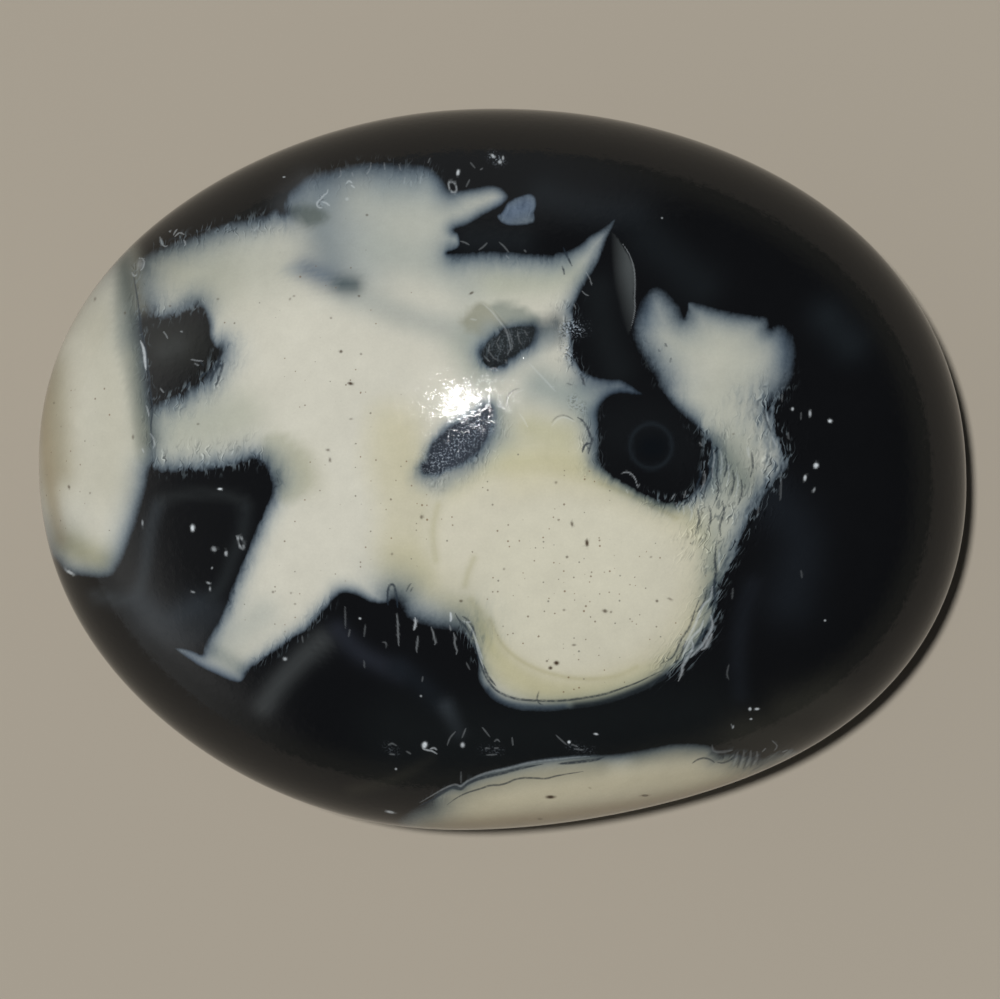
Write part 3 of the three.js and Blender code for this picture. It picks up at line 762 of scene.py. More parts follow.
def skinPlaces(places):  # moves points that are near the stone's skin onto it
    x, y = places[:, 0] + formMiddle[0], places[:, 1] + formMiddle[1]
    z = places[:, 2] - beltHeight
    angle, reach = np.arctan2(y, x), np.hypot(x, y)
    oval, belt = ovalRadius(angle, 2), beltRadius(angle)
    level = np.minimum(reach / belt, 1)
    for _ in range(form["rounds"]):
        wide = reach / (oval + (belt - oval) * level ** 2)
        level = wide / np.hypot(wide, z / halfHeight)
    out = level * (oval + (belt - oval) * level ** 2)
    up = np.sign(z) * np.sqrt(np.maximum(1 - level ** 2, 0)) * halfHeight
    flat = z < form["restDepth"] - halfHeight + form["touch"]
    out, up = np.where(flat, reach, out), np.where(flat, z, up)
    up = np.maximum(up, form["restDepth"] - halfHeight)
    moved = np.stack([out * np.cos(angle) - formMiddle[0], out * np.sin(angle) - formMiddle[1],
                      up + beltHeight], axis=1)
    return moved * form["inside"]


def skinNormals(places):  # outward directions of the skin at its points
    x, y = places[:, 0] + formMiddle[0], places[:, 1] + formMiddle[1]
    z = places[:, 2] - beltHeight
    angle, step = np.arctan2(y, x), 1e-4
    tall = np.clip(z / halfHeight, -1, 1)
    level = np.sqrt(1 - tall ** 2)
    reach, turned = [level * (ovalRadius(a, 2) + (beltRadius(a) - ovalRadius(a, 2)) * level ** 2)
                     for a in (angle, angle + step)]
    swing = (turned - reach) / step
    rise = tall * (ovalRadius(angle, 2) + 3 * (beltRadius(angle) - ovalRadius(angle, 2)) * level ** 2)
    normals = np.stack([halfHeight * level * (swing * np.sin(angle) + reach * np.cos(angle)),
                        halfHeight * level * (reach * np.sin(angle) - swing * np.cos(angle)),
                        rise * reach], axis=1)
    normals[reach < 1e-5] = (0, 0, 1)
    normals[places[:, 2] < form["touch"]] = (0, 0, -1)
    return normals / np.linalg.norm(normals, axis=1)[:, None]


def viewPixels(places):  # where the view from above shows a point; below the belt the skin is rolled out flat
    x, y, z = places[:, 0], places[:, 1], places[:, 2]
    pixel, (middleX, middleY) = shot["pixel"], shot["stoneMiddle"]
    eyeX = (shot["size"][0] / 2 - middleX) * pixel
    eyeY = (middleY - shot["size"][1] / 2) * pixel
    nearer = (shot["eyeHeight"] - beltHeight) / (shot["eyeHeight"] - np.maximum(z, beltHeight))
    flatX, flatY = eyeX + (x - eyeX) * nearer, eyeY + (y - eyeY) * nearer
    angle = np.arctan2(y + formMiddle[1], x + formMiddle[0])
    belt = beltRadius(angle)
    out = belt * (2 - np.hypot(x + formMiddle[0], y + formMiddle[1]) / belt)
    below = z < beltHeight
    flatX = np.where(below, out * np.cos(angle) - formMiddle[0], flatX)
    flatY = np.where(below, out * np.sin(angle) - formMiddle[1], flatY)
    return np.stack([middleX + flatX / pixel, middleY - flatY / pixel], axis=1)


def plainPixels(places):  # straight down, for the patches of the underside
    middleX, middleY = shot["stoneMiddle"]
    return np.stack([middleX + places[:, 0] / shot["pixel"], middleY + places[:, 1] / shot["pixel"]], axis=1)


def meshPlaces(mesh):
    flat = np.empty(len(mesh.vertices) * 3)
    mesh.vertices.foreach_get("co", flat)
    return flat.reshape(-1, 3)


def splitFaces(piece, chosen):  # one more cut through the chosen faces
    mesh = piece.data
    mesh.vertices.foreach_set("select", np.zeros(len(mesh.vertices), bool))
    mesh.edges.foreach_set("select", np.zeros(len(mesh.edges), bool))
    mesh.polygons.foreach_set("select", chosen)
    bpy.ops.object.mode_set(mode="EDIT")
    bpy.ops.mesh.subdivide(number_cuts=1, smoothness=0, ngon=False)
    bpy.ops.object.mode_set(mode="OBJECT")


def nearTree(paths, spacing):
    dots = []
    for path in paths:
        for start, end in zip(path[:-1], path[1:]):
            count = max(1, int(np.hypot(*(end - start)) / spacing))
            dots += [start + (end - start) * step / count for step in range(count)]
        dots.append(path[-1])
    tree = kdtree.KDTree(len(dots))
    for index, dot in enumerate(dots):
        tree.insert((dot[0], dot[1], 0), index)
    tree.balance()
    return tree


def near(tree, spots, reach):
    return np.array([tree.find((x, y, 0))[2] < reach for x, y in spots])


def closedPath(patch):
    loop = patchLoop(patch)[0]
    return np.vstack([loop, loop[:1]])


def ringPath(middle, radii):  # sixty points round an upright oval
    angles = np.linspace(0, 2 * math.pi, 61)
    return np.stack([middle[0] + radii[0] * np.cos(angles), middle[1] + radii[1] * np.sin(angles)], axis=1)


outlined = (mainPatch, leftSliver, bottomBand, fibrousSpot, longSpot, bluePatch, fractureAndSheen)
patchPaths = [closedPath(patch) for patch in outlined]
patchPaths += [ringPath(middle, radii) for middle, radii, _, _ in rings.values()]
patchPaths += [path for name in ("ringInner", "ringLeft") for path in markLoops(paleMarks[name][3])]
finePaths = [path for lines in (darkLines, lightLines) for _, _, marks in lines.values()
             for path in markLoops(marks)]
dotPaths = [np.array([dot[0], dot[0]], float) for dots in (chipsAndGlints, ringedChipsAndGlints, pits)
            for dot in dots.values()]

refine = {
    # pixels round edges, fine lines and dots within which each further cut is made
    "edges": (12, 6.4, 8.3), "lines": (2.5, 4.4, 4.3), "hairs": (None, 1.5, 2.3),
    "spacing": (2, 1.2, 1),                     # pixels between the dots that stand for each
    "aboveBelt": 0.8,                           # share of the belt's height above which the top is cut
    "join": 1e-6, "flatten": math.radians(60),  # metres and angle for the CAD's loose triangles
}


def makeStone():
    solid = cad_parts["palm_stone"]
    bpy.ops.object.select_all(action="DESELECT")
    stone = bpy.data.objects.new("palm_stone_agate", solid.data.copy())
    bpy.context.scene.collection.objects.link(stone)
    stone.data.materials.clear()
    bpy.context.view_layer.objects.active = stone
    stone.select_set(True)
    bpy.context.tool_settings.mesh_select_mode = (False, False, True)
    bpy.ops.object.mode_set(mode="EDIT")
    bpy.ops.mesh.select_all(action="SELECT")
    bpy.ops.mesh.remove_doubles(threshold=refine["join"])
    bpy.ops.mesh.tris_convert_to_quads(face_threshold=refine["flatten"], shape_threshold=refine["flatten"])
    bpy.ops.object.mode_set(mode="OBJECT")
    for layer in list(stone.data.uv_layers):
        stone.data.uv_layers.remove(layer)
    splitFaces(stone, np.ones(len(stone.data.polygons), bool))

    trees = [nearTree(paths, spacing) for paths, spacing
             in zip((patchPaths, finePaths, dotPaths), refine["spacing"])]
    for name in ("top", "edges", "lines", "hairs"):
        mesh = stone.data
        centres = np.empty(len(mesh.polygons) * 3)
        mesh.polygons.foreach_get("center", centres)
        centres = centres.reshape(-1, 3)
        if name == "top":
            chosen = centres[:, 2] > beltHeight * refine["aboveBelt"]
        else:
            spots = viewPixels(centres)
            chosen = np.any([near(tree, spots, reach) for tree, reach in zip(trees, refine[name])
                             if reach], axis=0)
        splitFaces(stone, chosen)
        print("split", name, len(stone.data.polygons), "faces")

    mesh = stone.data
    mesh.vertices.foreach_set("co", skinPlaces(meshPlaces(mesh)).ravel())
    mesh.update()
    bpy.ops.object.mode_set(mode="EDIT")
    bpy.ops.mesh.select_all(action="SELECT")
    bpy.ops.mesh.normals_make_consistent(inside=False)
    bpy.ops.object.mode_set(mode="OBJECT")
    bpy.ops.object.shade_smooth()
    mesh.normals_split_custom_set_from_vertices(skinNormals(meshPlaces(mesh) / form["inside"]))
    print("stone has", sum(len(face.vertices) - 2 for face in mesh.polygons), "triangles")
    return stone


def keepNumbers(mesh, name, values):
    mesh.attributes.new(name, "FLOAT", "POINT").data.foreach_set("value", np.asarray(values, np.float32))


def keepColours(mesh, name, values):
    filled = np.concatenate([values, np.ones((len(values), 1))], axis=1).astype(np.float32)
    mesh.attributes.new(name, "FLOAT_COLOR", "POINT").data.foreach_set("color", filled.ravel())


tones = {"pale": (191, 189, 176), "dark": (14, 15, 17), "fractureAndSheen": (68, 72, 73), "ring": (31, 37, 42)}

paint = {
    "patchCap": 9, "blueCap": 0.33,  # most depth that the side patches and the faint blue one reach
    "hiddenFrom": 0.98,              # share of the belt's height under which the hidden patches start
    "spotSlope": 0.75,               # how fast the depth grows beside a dark spot
    "away": -3, "deepest": 4,        # depth far outside a patch, and the most that is kept
    "softSpread": 11,                # brush marks wider than this go under the lenses, the rest over them
    "ringWidth": 2.0, "chipAndGlintRing": 0.6,
    "shardSheenTop": (1.25, 232),         # share of the fracture's painted reflection at this pixel row
    "shardSheenFade": 150, "shardSheenLeast": 0.15,  # rows over which it falls by 1, and its least
    "fibreLevel": 450,               # row where the fibres begin to lean
    "fibreLean": 0.12,
    "fibreCurl": (560, 0.0016),      # right of this pixel they curl too
}


def paintStone(stone):
    places = meshPlaces(stone.data)
    spots = viewPixels(places)
    under = plainPixels(places)
    below = places[:, 2] < beltHeight * paint["hiddenFrom"]

    depth, fray = patchDepth(spots, mainPatch)
    caps = ((leftSliver, paint["patchCap"]), (bottomBand, paint["patchCap"]), (bluePatch, paint["blueCap"]))
    for patch, cap in caps:
        other, frayed = patchDepth(spots, patch)
        other = np.minimum(other, cap)
        fray = np.where(other > depth, frayed, fray)
        depth = np.maximum(depth, other)
    for patch in (fibrousSpot, longSpot):
        hole, frayed = patchDepth(spots, patch)
        fray = np.where(-hole < depth, frayed, fray)
        depth = np.minimum(depth, -hole * np.where(hole < 0, paint["spotSlope"], 1))
    for patch in underPatches.values():
        other, frayed = patchDepth(under, patch)
        other = np.where(below, other, paint["away"])
        fray = np.where(other > depth, frayed, fray)
        depth = np.maximum(depth, other)
    keepNumbers(stone.data, "depth", np.clip(depth, paint["away"], paint["deepest"]))
    keepNumbers(stone.data, "fray", fray)
    print("edges of the patches set")

    pale = np.tile(linear(*tones["pale"]), (len(spots), 1))
    soft = {name: mark for name, mark in paleMarks.items() if mark[2] > paint["softSpread"]}
    firm = {name: mark for name, mark in paleMarks.items() if mark[2] <= paint["softSpread"]}
    pale = blendMarks(pale, spots, soft)
    pale = blendLenses(pale, spots, paleLenses)
    pale = blendMarks(pale, spots, firm)
    dark = np.tile(linear(*tones["dark"]), (len(spots), 1))
    dark = blendMarks(dark, spots, darkMarks)
    # The fracture's grey is a painted reflection off its face, fading towards the bottom
    shardSheen, _ = patchDepth(spots, fractureAndSheen)
    share, row = paint["shardSheenTop"]
    shown = np.clip(share - (spots[:, 1] - row) / paint["shardSheenFade"], paint["shardSheenLeast"], 1)
    shardSheenShare = np.clip(shardSheen, 0, 1) * shown
    dark += (linear(*tones["fractureAndSheen"]) - linear(*tones["dark"])) * shardSheenShare[:, None]
    ring = ringAmount(spots, rings, paint["ringWidth"])[:, None]
    dark = dark * (1 - ring) + linear(*tones["ring"]) * ring
    keepColours(stone.data, "paleTone", pale)
    keepColours(stone.data, "darkTone", dark)
    print("tints set")

    keepNumbers(stone.data, "darkLine", fineAmount(spots, darkLines))
    # Light lines, chips and painted glints make one light mark
    glow = np.maximum(fineAmount(spots, lightLines) * finish["lineGlow"],
                      dotAmount(spots, chipsAndGlints) * finish["chipAndGlintGlow"])
    chipAndGlintRings = ringAmount(spots, ringedChipsAndGlints, paint["chipAndGlintRing"])
    keepNumbers(stone.data, "lightLineAndGlint", np.maximum(glow, chipAndGlintRings))
    keepNumbers(stone.data, "pit", dotAmount(spots, pits))
    for name, marks in (("crumbsAndSparkle", crumbsAndSparkle), ("speckled", speckled), ("wrinkled", wrinkled)):
        amount = np.zeros(len(spots))
        for spread, strength, lines in marks.values():
            amount = np.maximum(amount, strength * markAmount(spots, lines, spread))
        keepNumbers(stone.data, name, amount)

    # Fibres run down the stone and lean over towards the lower right
    across, down = spots.T
    past = down - paint["fibreLevel"]
    column, curl = paint["fibreCurl"]
    lean = paint["fibreLean"] * past + np.where((past > 0) & (across > column), curl * past ** 2, 0)
    fibre = np.stack([across + lean, down, np.zeros(len(down))], axis=1).astype(np.float32)
    stone.data.attributes.new("fibre", "FLOAT_VECTOR", "POINT").data.foreach_set("vector", fibre.ravel())
    print("lines, chips and fibres set")


# Material

finish = {
    "build": 1.2,                   # how thick the pale layer is at the end of its build-up
    "rise": 1.6,                    # how slowly it starts
    "scatter": (1.0, 1.43, 2.2),    # thin pale agate over black looks blue: red, green and blue shares
    "fadeBlue": 2.0,                # how soon that blue is lost as the layer thickens
    "frayReach": 1.5,               # how far fibres and hairs break the layer's edge
    "strandFray": 0.7, "hairFray": 0.8, "strandBite": 0.25,
    "grain": 3.2,                   # pixels, and how far this grain breaks the edge
    "grainReach": 0.14,
    "fibre": (1 / 9, 1 / 34),       # fibres across and along, per pixel
    "fibreWind": (13, 14),          # size and reach of the bends in them, in pixels
    "fibrePaintedLitSide": (0.13, 0.02, 0), # shift to the side of a fibre that is painted lighter, as if lit
    "fibreClump": (15, 0.42, 0.6),  # size of their clumps, and the noise where one starts and is full
    "hair": (1 / 5, 1 / 26),        # the same for the thin hairs among them
    "hairWind": (12, 7),
    "hairPaintedShadeSide": (0.2, 0.03, 0.0), # shift from the light hairs to their painted shaded side
    "hairTuft": (10, 0.38, 0.58),
    "thinness": 0.05,               # width of fibres and hairs, as a share of the noise
    "paintedFoldShade": 0.6,               # strength of the fibres' painted light and shade
    "hairTone": (128, 142, 150),    # light hairs at the edge of the pale layer, and their strength
    "hairShadeDark": 0.42,
    "hairOnDark": ((-1.6, -0.3), (0.75, 0.05)),  # depths where they start and are full, end and are full
    "hairShadeTone": (66, 76, 80),       # painted shade of the hairs in the pale layer, and its strength
    "hairShade": 0.6,
    "hairOnPale": (0.3, 1.0),       # depths where they start and are full
    "clouds": ((46, 0.033), (12, 0.02), (2.2, 0.022)),  # size in pixels and strength
    "speckCell": 5, "specks": 0.38, "speckShare": 0.7,  # pixels, how many cells hold one, how strong it is
    "speckCrowd": (20, 0.36, 0.66, 0.25, 1.7),          # pixels, span of the noise, fewest and most
    "speckCore": (0.10, 0.05),      # radius in cells that is full: growth with size, and least
    "speckRim": (0.13, 0.17),       # and the radius where it ends
    "speckOnPale": (0.8, 1.3),      # depths where they start and are full
    "speckTones": ((104, 72, 42), (104, 104, 96)),
    "pitTone": (58, 42, 26),
    "crackTone": (34, 43, 52), "crackGrain": (0.35, 0.55, 0.6, 1.0),   # span of the grain, shares there
    "chipAndGlintTone": (232, 240, 245), "chipAndGlintGrain": (0.38, 0.58, 0.8, 1.0),
    "lineGlow": 0.45, "chipAndGlintGlow": 0.85,  # strength of the light lines, and of the chips and painted glints
    "crumb": 2,                     # pixels, then the noise where dark and light crumbs start and are full; light ones are partly a painted sparkle
    "darkCrumb": (0.50, 0.38), "lightCrumbAndSparkle": (0.52, 0.68),
    "crumbAndSparkleTones": ((30, 35, 40), (146, 156, 166)),
    "roughness": 0.045,             # then what smears of this size in pixels and what damage adds to it
    "smear": 90, "smearRough": 0.02, "damageRough": 0.3,
    "ior": 1.54, "shine": 0.35,
    "polishBump": 0.0000028,        # metres
    "scratch": 0.9,                 # pixels, then the rougher places: size, span of the noise, least
    "scratchPatch": (7, 0.42, 0.70, 0.25),
    "scratched": 2.4,               # and most
    "groove": 1.5,                  # depth of fibres and damage, next to the scratches
}


def addNode(tree, kind, **settings):
    node = tree.nodes.new("ShaderNode" + kind)
    for name, value in settings.items():
        setattr(node, name, value)
    return node


def plug(tree, socket, value):
    if isinstance(value, bpy.types.NodeSocket):
        tree.links.new(value, socket)
    else:
        socket.default_value = value


def calc(tree, operation, *values):
    node = addNode(tree, "Math", operation=operation)
    for socket, value in zip(node.inputs, values):
        plug(tree, socket, value)
    return node.outputs[0]


def plus(tree, first, second):
    return calc(tree, "ADD", first, second)


def minus(tree, first, second):
    return calc(tree, "SUBTRACT", first, second)


def times(tree, first, second):
    return calc(tree, "MULTIPLY", first, second)


def ramp(tree, value, start, end, toStart=0.0, toEnd=1.0, smooth=True):
    node = addNode(tree, "MapRange", interpolation_type="SMOOTHSTEP" if smooth else "LINEAR")
    for socket, number in zip(node.inputs, (value, start, end, toStart, toEnd)):
        plug(tree, socket, number)
    return node.outputs[0]


def noise(tree, place, size, detail=2.0, rough=0.5):  # soft spots of about this size
    node = addNode(tree, "TexNoise")
    plug(tree, node.inputs["Vector"], place)
    for name, value in (("Scale", 1 / size), ("Detail", detail), ("Roughness", rough)):
        node.inputs[name].default_value = value
    return node


def noiseLevel(tree, place, size, detail=2.0, rough=0.5):
    return noise(tree, place, size, detail, rough).outputs["Fac"]


def scaled(tree, vector, factors, shift=(0, 0, 0)):
    node = addNode(tree, "Mapping")
    plug(tree, node.inputs["Vector"], vector)
    node.inputs["Scale"].default_value = factors
    node.inputs["Location"].default_value = shift
    return node.outputs[0]


def kept(tree, name, output="Fac"):  # a value painted on the mesh
    return addNode(tree, "Attribute", attribute_type="GEOMETRY", attribute_name=name).outputs[output]


def winding(tree, place, size, reach):  # bends the lines that are read at a place
    node = addNode(tree, "VectorMath", operation="MULTIPLY_ADD")
    plug(tree, node.inputs[0], noise(tree, place, size).outputs["Color"])
    node.inputs[1].default_value = (reach, reach, 0)
    plug(tree, node.inputs[2], place)
    return node.outputs[0]


def strands(tree, place, scale, shift=(0, 0, 0)):
    # A streaky noise, and the thin lines along its middle level
    level = noiseLevel(tree, scaled(tree, place, (*scale, 1), shift), 1, 1.5)
    offMiddle = calc(tree, "ABSOLUTE", minus(tree, level, 0.5))
    return level, ramp(tree, offMiddle, 0.0, finish["thinness"], 1.0, 0.0)


def mixed(tree, factor, first, second, blend="MIX"):
    node = addNode(tree, "Mix", data_type="RGBA", blend_type=blend)
    for index, value in ((0, factor), (6, first), (7, second)):
        plug(tree, node.inputs[index], value)
    return node.outputs[2]


def tone(*shown):
    return (*linear(*shown), 1)


def polishedAgate():
    material = bpy.data.materials.new("polishedAgate")
    material.use_nodes = True
    tree = material.node_tree
    shader = next(node for node in tree.nodes if node.type == "BSDF_PRINCIPLED")

    # Pixels of the view from above, on the stone itself
    coordinates = addNode(tree, "TexCoord").outputs["Object"]
    grainPlace = scaled(tree, coordinates, (1 / shot["pixel"],) * 3)
    depth, fray, wrinkles = kept(tree, "depth"), kept(tree, "fray"), kept(tree, "wrinkled")
    fibrePlace = kept(tree, "fibre", "Vector")
    wound = winding(tree, fibrePlace, *finish["fibreWind"])
    here, strand = strands(tree, wound, finish["fibre"])
    _, strandPaintedLitSide = strands(tree, wound, finish["fibre"], finish["fibrePaintedLitSide"])
    curled = winding(tree, fibrePlace, *finish["hairWind"])
    fineHere, hair = strands(tree, curled, finish["hair"])
    _, hairPaintedShadeSide = strands(tree, curled, finish["hair"], finish["hairPaintedShadeSide"])
    size, *span = finish["fibreClump"]
    clumps = ramp(tree, noiseLevel(tree, fibrePlace, size, 1.0), *span)
    strand, strandPaintedLitSide = [times(tree, amount, clumps) for amount in (strand, strandPaintedLitSide)]
    size, *span = finish["hairTuft"]
    tufts = ramp(tree, noiseLevel(tree, fibrePlace, size, 1.0), *span)
    hair, hairPaintedShadeSide = [times(tree, amount, times(tree, tufts, wrinkles)) for amount in (hair, hairPaintedShadeSide)]
    grain = noiseLevel(tree, grainPlace, finish["grain"], 2.0, 0.6)

    # Edge of the pale layer, broken by fibres and grain
    broken = plus(tree, times(tree, minus(tree, here, 0.5), finish["strandFray"]),
                  times(tree, minus(tree, fineHere, 0.5), finish["hairFray"]))
    frayed = times(tree, minus(tree, broken, times(tree, strand, finish["strandBite"])),
                   times(tree, fray, finish["frayReach"]))
    grained = times(tree, minus(tree, grain, 0.5), finish["grainReach"])
    layer = plus(tree, depth, plus(tree, frayed, grained))
    risen = calc(tree, "POWER", calc(tree, "MAXIMUM", layer, 0.0), finish["rise"])
    thick = times(tree, risen, finish["build"])
    bluer = calc(tree, "DIVIDE", thick, calc(tree, "MULTIPLY_ADD", thick, finish["fadeBlue"], 1.0))
    shares = addNode(tree, "CombineXYZ")
    for socket, share in zip(shares.inputs, finish["scatter"]):
        lost = calc(tree, "MULTIPLY_ADD", bluer, share - 1, thick)
        plug(tree, socket, minus(tree, 1.0, calc(tree, "EXPONENT", times(tree, lost, -1.0))))
    body = addNode(tree, "Mix", data_type="VECTOR", factor_mode="NON_UNIFORM")
    plug(tree, body.inputs[1], shares.outputs[0])
    plug(tree, body.inputs[4], kept(tree, "darkTone", "Color"))
    plug(tree, body.inputs[5], kept(tree, "paleTone", "Color"))

    # Painted light and shade: wrinkles are drawn lighter on one side and darker on the other. The pale agate
    # is also faintly clouded
    paintedRelief = minus(tree, strandPaintedLitSide, strand)
    paintedShadeAndClouds = calc(tree, "MULTIPLY_ADD", times(tree, paintedRelief, wrinkles), finish["paintedFoldShade"], 1.0)
    for size, strength in finish["clouds"]:
        level = noiseLevel(tree, grainPlace, size, 2.0, 0.55)
        cloud = ramp(tree, level, 0.3, 0.7, 1 - strength, 1 + strength, False)
        paintedShadeAndClouds = times(tree, paintedShadeAndClouds, cloud)
    shaded = addNode(tree, "VectorMath", operation="SCALE")
    plug(tree, shaded.inputs[0], body.outputs[1])
    plug(tree, shaded.inputs["Scale"], paintedShadeAndClouds)
    colour = shaded.outputs[0]
    appear, vanish = finish["hairOnDark"]
    closeBy = times(tree, ramp(tree, depth, *appear), ramp(tree, layer, *vanish))
    onDark = times(tree, hair, closeBy)
    colour = mixed(tree, times(tree, onDark, finish["hairShadeDark"]), colour, tone(*finish["hairTone"]))
    # Painted shade: in the pale layer each hair shows as a dark line beside it
    hairPaintedShade = times(tree, hairPaintedShadeSide, ramp(tree, layer, *finish["hairOnPale"]))
    colour = mixed(tree, times(tree, hairPaintedShade, finish["hairShade"]), colour, tone(*finish["hairShadeTone"]))

    # Tiny specks in the pale agate, and the pits
    cells = addNode(tree, "TexVoronoi", feature="F1")
    plug(tree, cells.inputs["Vector"], grainPlace)
    cells.inputs["Scale"].default_value = 1 / finish["speckCell"]
    cellTint = addNode(tree, "SeparateColor")
    plug(tree, cellTint.inputs[0], cells.outputs["Color"])
    chance, size, hue = cellTint.outputs[0], cellTint.outputs[1], cellTint.outputs[2]
    patchSize, *span = finish["speckCrowd"]
    crowd = ramp(tree, noiseLevel(tree, grainPlace, patchSize, 1.0), *span)
    crowd = times(tree, crowd, times(tree, kept(tree, "speckled"), finish["specks"]))
    spotted = calc(tree, "LESS_THAN", chance, crowd)
    roundness = ramp(tree, cells.outputs["Distance"], calc(tree, "MULTIPLY_ADD", size, *finish["speckCore"]),
                     calc(tree, "MULTIPLY_ADD", size, *finish["speckRim"]), 1.0, 0.0)
    isPale = ramp(tree, layer, *finish["speckOnPale"])
    speck = times(tree, times(tree, spotted, roundness), isPale)
    speckTone = mixed(tree, hue, *[tone(*shown) for shown in finish["speckTones"]])
    colour = mixed(tree, times(tree, speck, finish["speckShare"]), colour, speckTone)
    colour = mixed(tree, kept(tree, "pit"), colour, tone(*finish["pitTone"]))

    # Cracks, crumbs and chips. The light chips are partly painted glints, and by the highlight the light
    # crumbs are partly a painted sparkle
    crack, chipAndGlint = kept(tree, "darkLine"), kept(tree, "lightLineAndGlint")
    crackShare = times(tree, crack, ramp(tree, grain, *finish["crackGrain"]))
    colour = mixed(tree, crackShare, colour, tone(*finish["crackTone"]))
    crumbGrain = noiseLevel(tree, grainPlace, finish["crumb"], 1.0)
    crumbAndSparkleAmount = kept(tree, "crumbsAndSparkle")
    for span, shown in zip((finish["darkCrumb"], finish["lightCrumbAndSparkle"]), finish["crumbAndSparkleTones"]):
        colour = mixed(tree, times(tree, crumbAndSparkleAmount, ramp(tree, crumbGrain, *span)), colour, tone(*shown))
    chipAndGlintShare = times(tree, chipAndGlint, ramp(tree, grain, *finish["chipAndGlintGrain"]))
    colour = mixed(tree, chipAndGlintShare, colour, tone(*finish["chipAndGlintTone"]))
    plug(tree, shader.inputs["Base Color"], colour)

    damage = calc(tree, "MAXIMUM", calc(tree, "MAXIMUM", crackShare, chipAndGlintShare), kept(tree, "pit"))
    smear = noiseLevel(tree, grainPlace, finish["smear"], 3.0, 0.6)
    smooth, smeared = finish["roughness"], finish["roughness"] + finish["smearRough"]
    roughness = plus(tree, ramp(tree, smear, 0.3, 0.7, smooth, smeared),
                     times(tree, damage, finish["damageRough"]))
    plug(tree, shader.inputs["Roughness"], roughness)
    shader.inputs["IOR"].default_value = finish["ior"]
    shader.inputs["Specular IOR Level"].default_value = finish["shine"]

    # The polish is full of tiny scratches, rougher in places
    fine = noiseLevel(tree, grainPlace, finish["scratch"], 1.0)
    size, *span = finish["scratchPatch"]
    rough = ramp(tree, noiseLevel(tree, grainPlace, size), *span, finish["scratched"])
    height = times(tree, fine, rough)
    height = minus(tree, height, times(tree, times(tree, strand, wrinkles), finish["groove"]))
    height = minus(tree, height, times(tree, damage, finish["groove"]))
    bump = addNode(tree, "Bump")
    bump.inputs["Distance"].default_value = finish["polishBump"]
    plug(tree, bump.inputs["Height"], height)
    plug(tree, shader.inputs["Normal"], bump.outputs["Normal"])
    return material


# Camera, light and floor

light = {
    "key": ((-0.08, 0.048, 1.0), 3.2, 2.5),      # direction it comes from, strength, width in degrees
    "spark": ((-0.072, 0.230, 1.0), 0.28, 1.9),  # only the reflection of these three in the polish is seen
    "sparkTail": ((-0.090, 0.2035, 1.0), 0.067, 0.9),
    "sparkFoot": ((-0.100, 0.188, 1.0), 0.03, 0.8),
    "room": (0.026, 0.027, 0.030),
    "horizon": ((0.17, 0.165, 0.13), 0.33, 0.06),  # glow over the floor, heights where it ends and is full
    "window": (0.88, 0.87, 0.83),                # glow of the window on the left
    "windowSide": (0.37, 0.80),                  # how far left it starts, and is full
    "windowTop": (0.74, 0.39, 0.12, 1.0),        # heights where it ends and is full, and the shares there
    "windowFoot": (0.09, 0.28, 0.62, 1.0),       # the same at its foot
    "windowLean": -0.2,                          # its upper end rises towards the back
    "skylight": ((-0.09, 0.96, 0.26), (0.24, 0.25, 0.25), (0.88, 0.975)),  # direction, glow, soft edge
    "floorTone": (157, 149, 136), "floorRoughness": 0.9, "floorShine": 0.2, "floorWidth": 1.6,
}


def addCamera():
    data = bpy.data.cameras.new("camera")
    camera = bpy.data.objects.new("camera", data)
    bpy.context.scene.collection.objects.link(camera)
    across = shot["size"][0] * shot["pixel"]
    data.sensor_width = shot["sensor"]
    data.lens = shot["sensor"] * (shot["eyeHeight"] - beltHeight) / across
    data.clip_start, data.clip_end = 0.01, 10
    camera.location = ((shot["size"][0] / 2 - shot["stoneMiddle"][0]) * shot["pixel"],
                       (shot["stoneMiddle"][1] - shot["size"][1] / 2) * shot["pixel"], shot["eyeHeight"])
    bpy.context.scene.camera = camera


def addSun(name, direction, strength, width):
    data = bpy.data.lights.new(name, "SUN")
    data.energy, data.angle = strength, math.radians(width)
    lamp = bpy.data.objects.new(name, data)
    bpy.context.scene.collection.objects.link(lamp)
    lamp.rotation_euler = Vector(direction).to_track_quat("Z", "Y").to_euler()
    return lamp


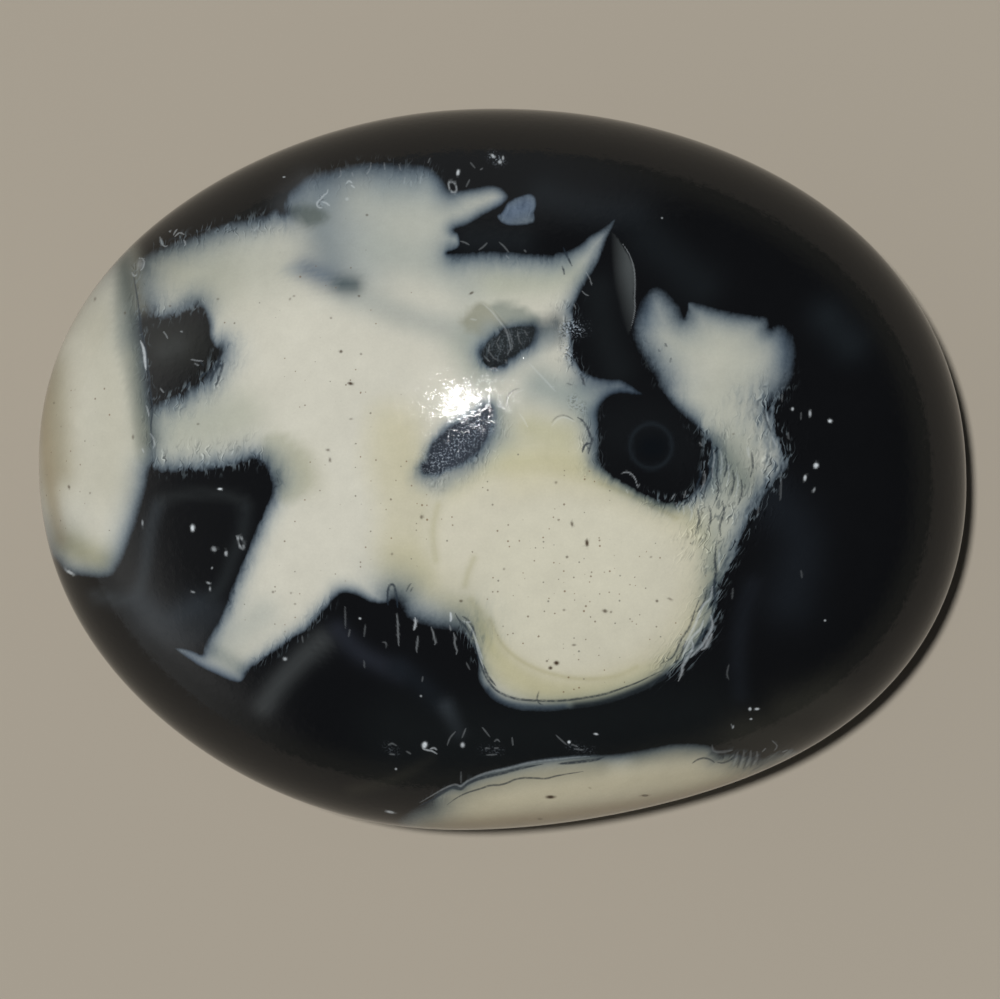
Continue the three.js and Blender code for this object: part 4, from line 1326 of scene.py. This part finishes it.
def addFloor():
    bpy.ops.object.select_all(action="DESELECT")
    bpy.ops.mesh.primitive_plane_add(size=light["floorWidth"], location=(0, 0, 0))
    floor = bpy.context.active_object
    floor.name = "floor"
    material = bpy.data.materials.new("floorPaper")
    material.use_nodes = True
    shader = next(node for node in material.node_tree.nodes if node.type == "BSDF_PRINCIPLED")
    shader.inputs["Base Color"].default_value = tone(*light["floorTone"])
    shader.inputs["Roughness"].default_value = light["floorRoughness"]
    shader.inputs["Specular IOR Level"].default_value = light["floorShine"]
    floor.data.materials.append(material)


def addRoom():  # dark, with a glow near the floor, a wide window at the left and a weak light at the top
    room = bpy.data.worlds.new("room")
    room.use_nodes = True
    tree = room.node_tree
    direction = addNode(tree, "TexCoord").outputs["Generated"]
    split = addNode(tree, "SeparateXYZ")
    plug(tree, split.inputs[0], direction)
    x, y, z = split.outputs
    glow, reach, full = light["horizon"]
    colour = mixed(tree, ramp(tree, z, reach, full), (*light["room"], 1), (*glow, 1))
    place, glow, edge = light["skylight"]
    toSky = addNode(tree, "VectorMath", operation="DOT_PRODUCT")
    plug(tree, toSky.inputs[0], direction)
    toSky.inputs[1].default_value = place
    colour = mixed(tree, ramp(tree, toSky.outputs["Value"], *edge), colour, (*glow, 1))
    sideways = ramp(tree, times(tree, x, -1.0), *light["windowSide"])
    height = ramp(tree, calc(tree, "MULTIPLY_ADD", y, light["windowLean"], z), *light["windowTop"])
    foot = ramp(tree, z, *light["windowFoot"])
    inWindow = times(tree, times(tree, sideways, height), foot)
    colour = mixed(tree, inWindow, colour, (*light["window"], 1))
    plug(tree, tree.nodes["Background"].inputs[0], colour)
    bpy.context.scene.world = room


addCamera()
addSun("keyLamp", *light["key"]).visible_glossy = False
for name in ("spark", "sparkTail", "sparkFoot"):
    addSun(name + "Lamp", *light[name]).visible_diffuse = False
addRoom()
bpy.context.scene.view_settings.view_transform = "Standard"
addFloor()
print("camera, lamps and floor set")

stone = makeStone()
paintStone(stone)
stone.data.materials.append(polishedAgate())
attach(stone, "root")
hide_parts("palm_stone")
print("stone finished")
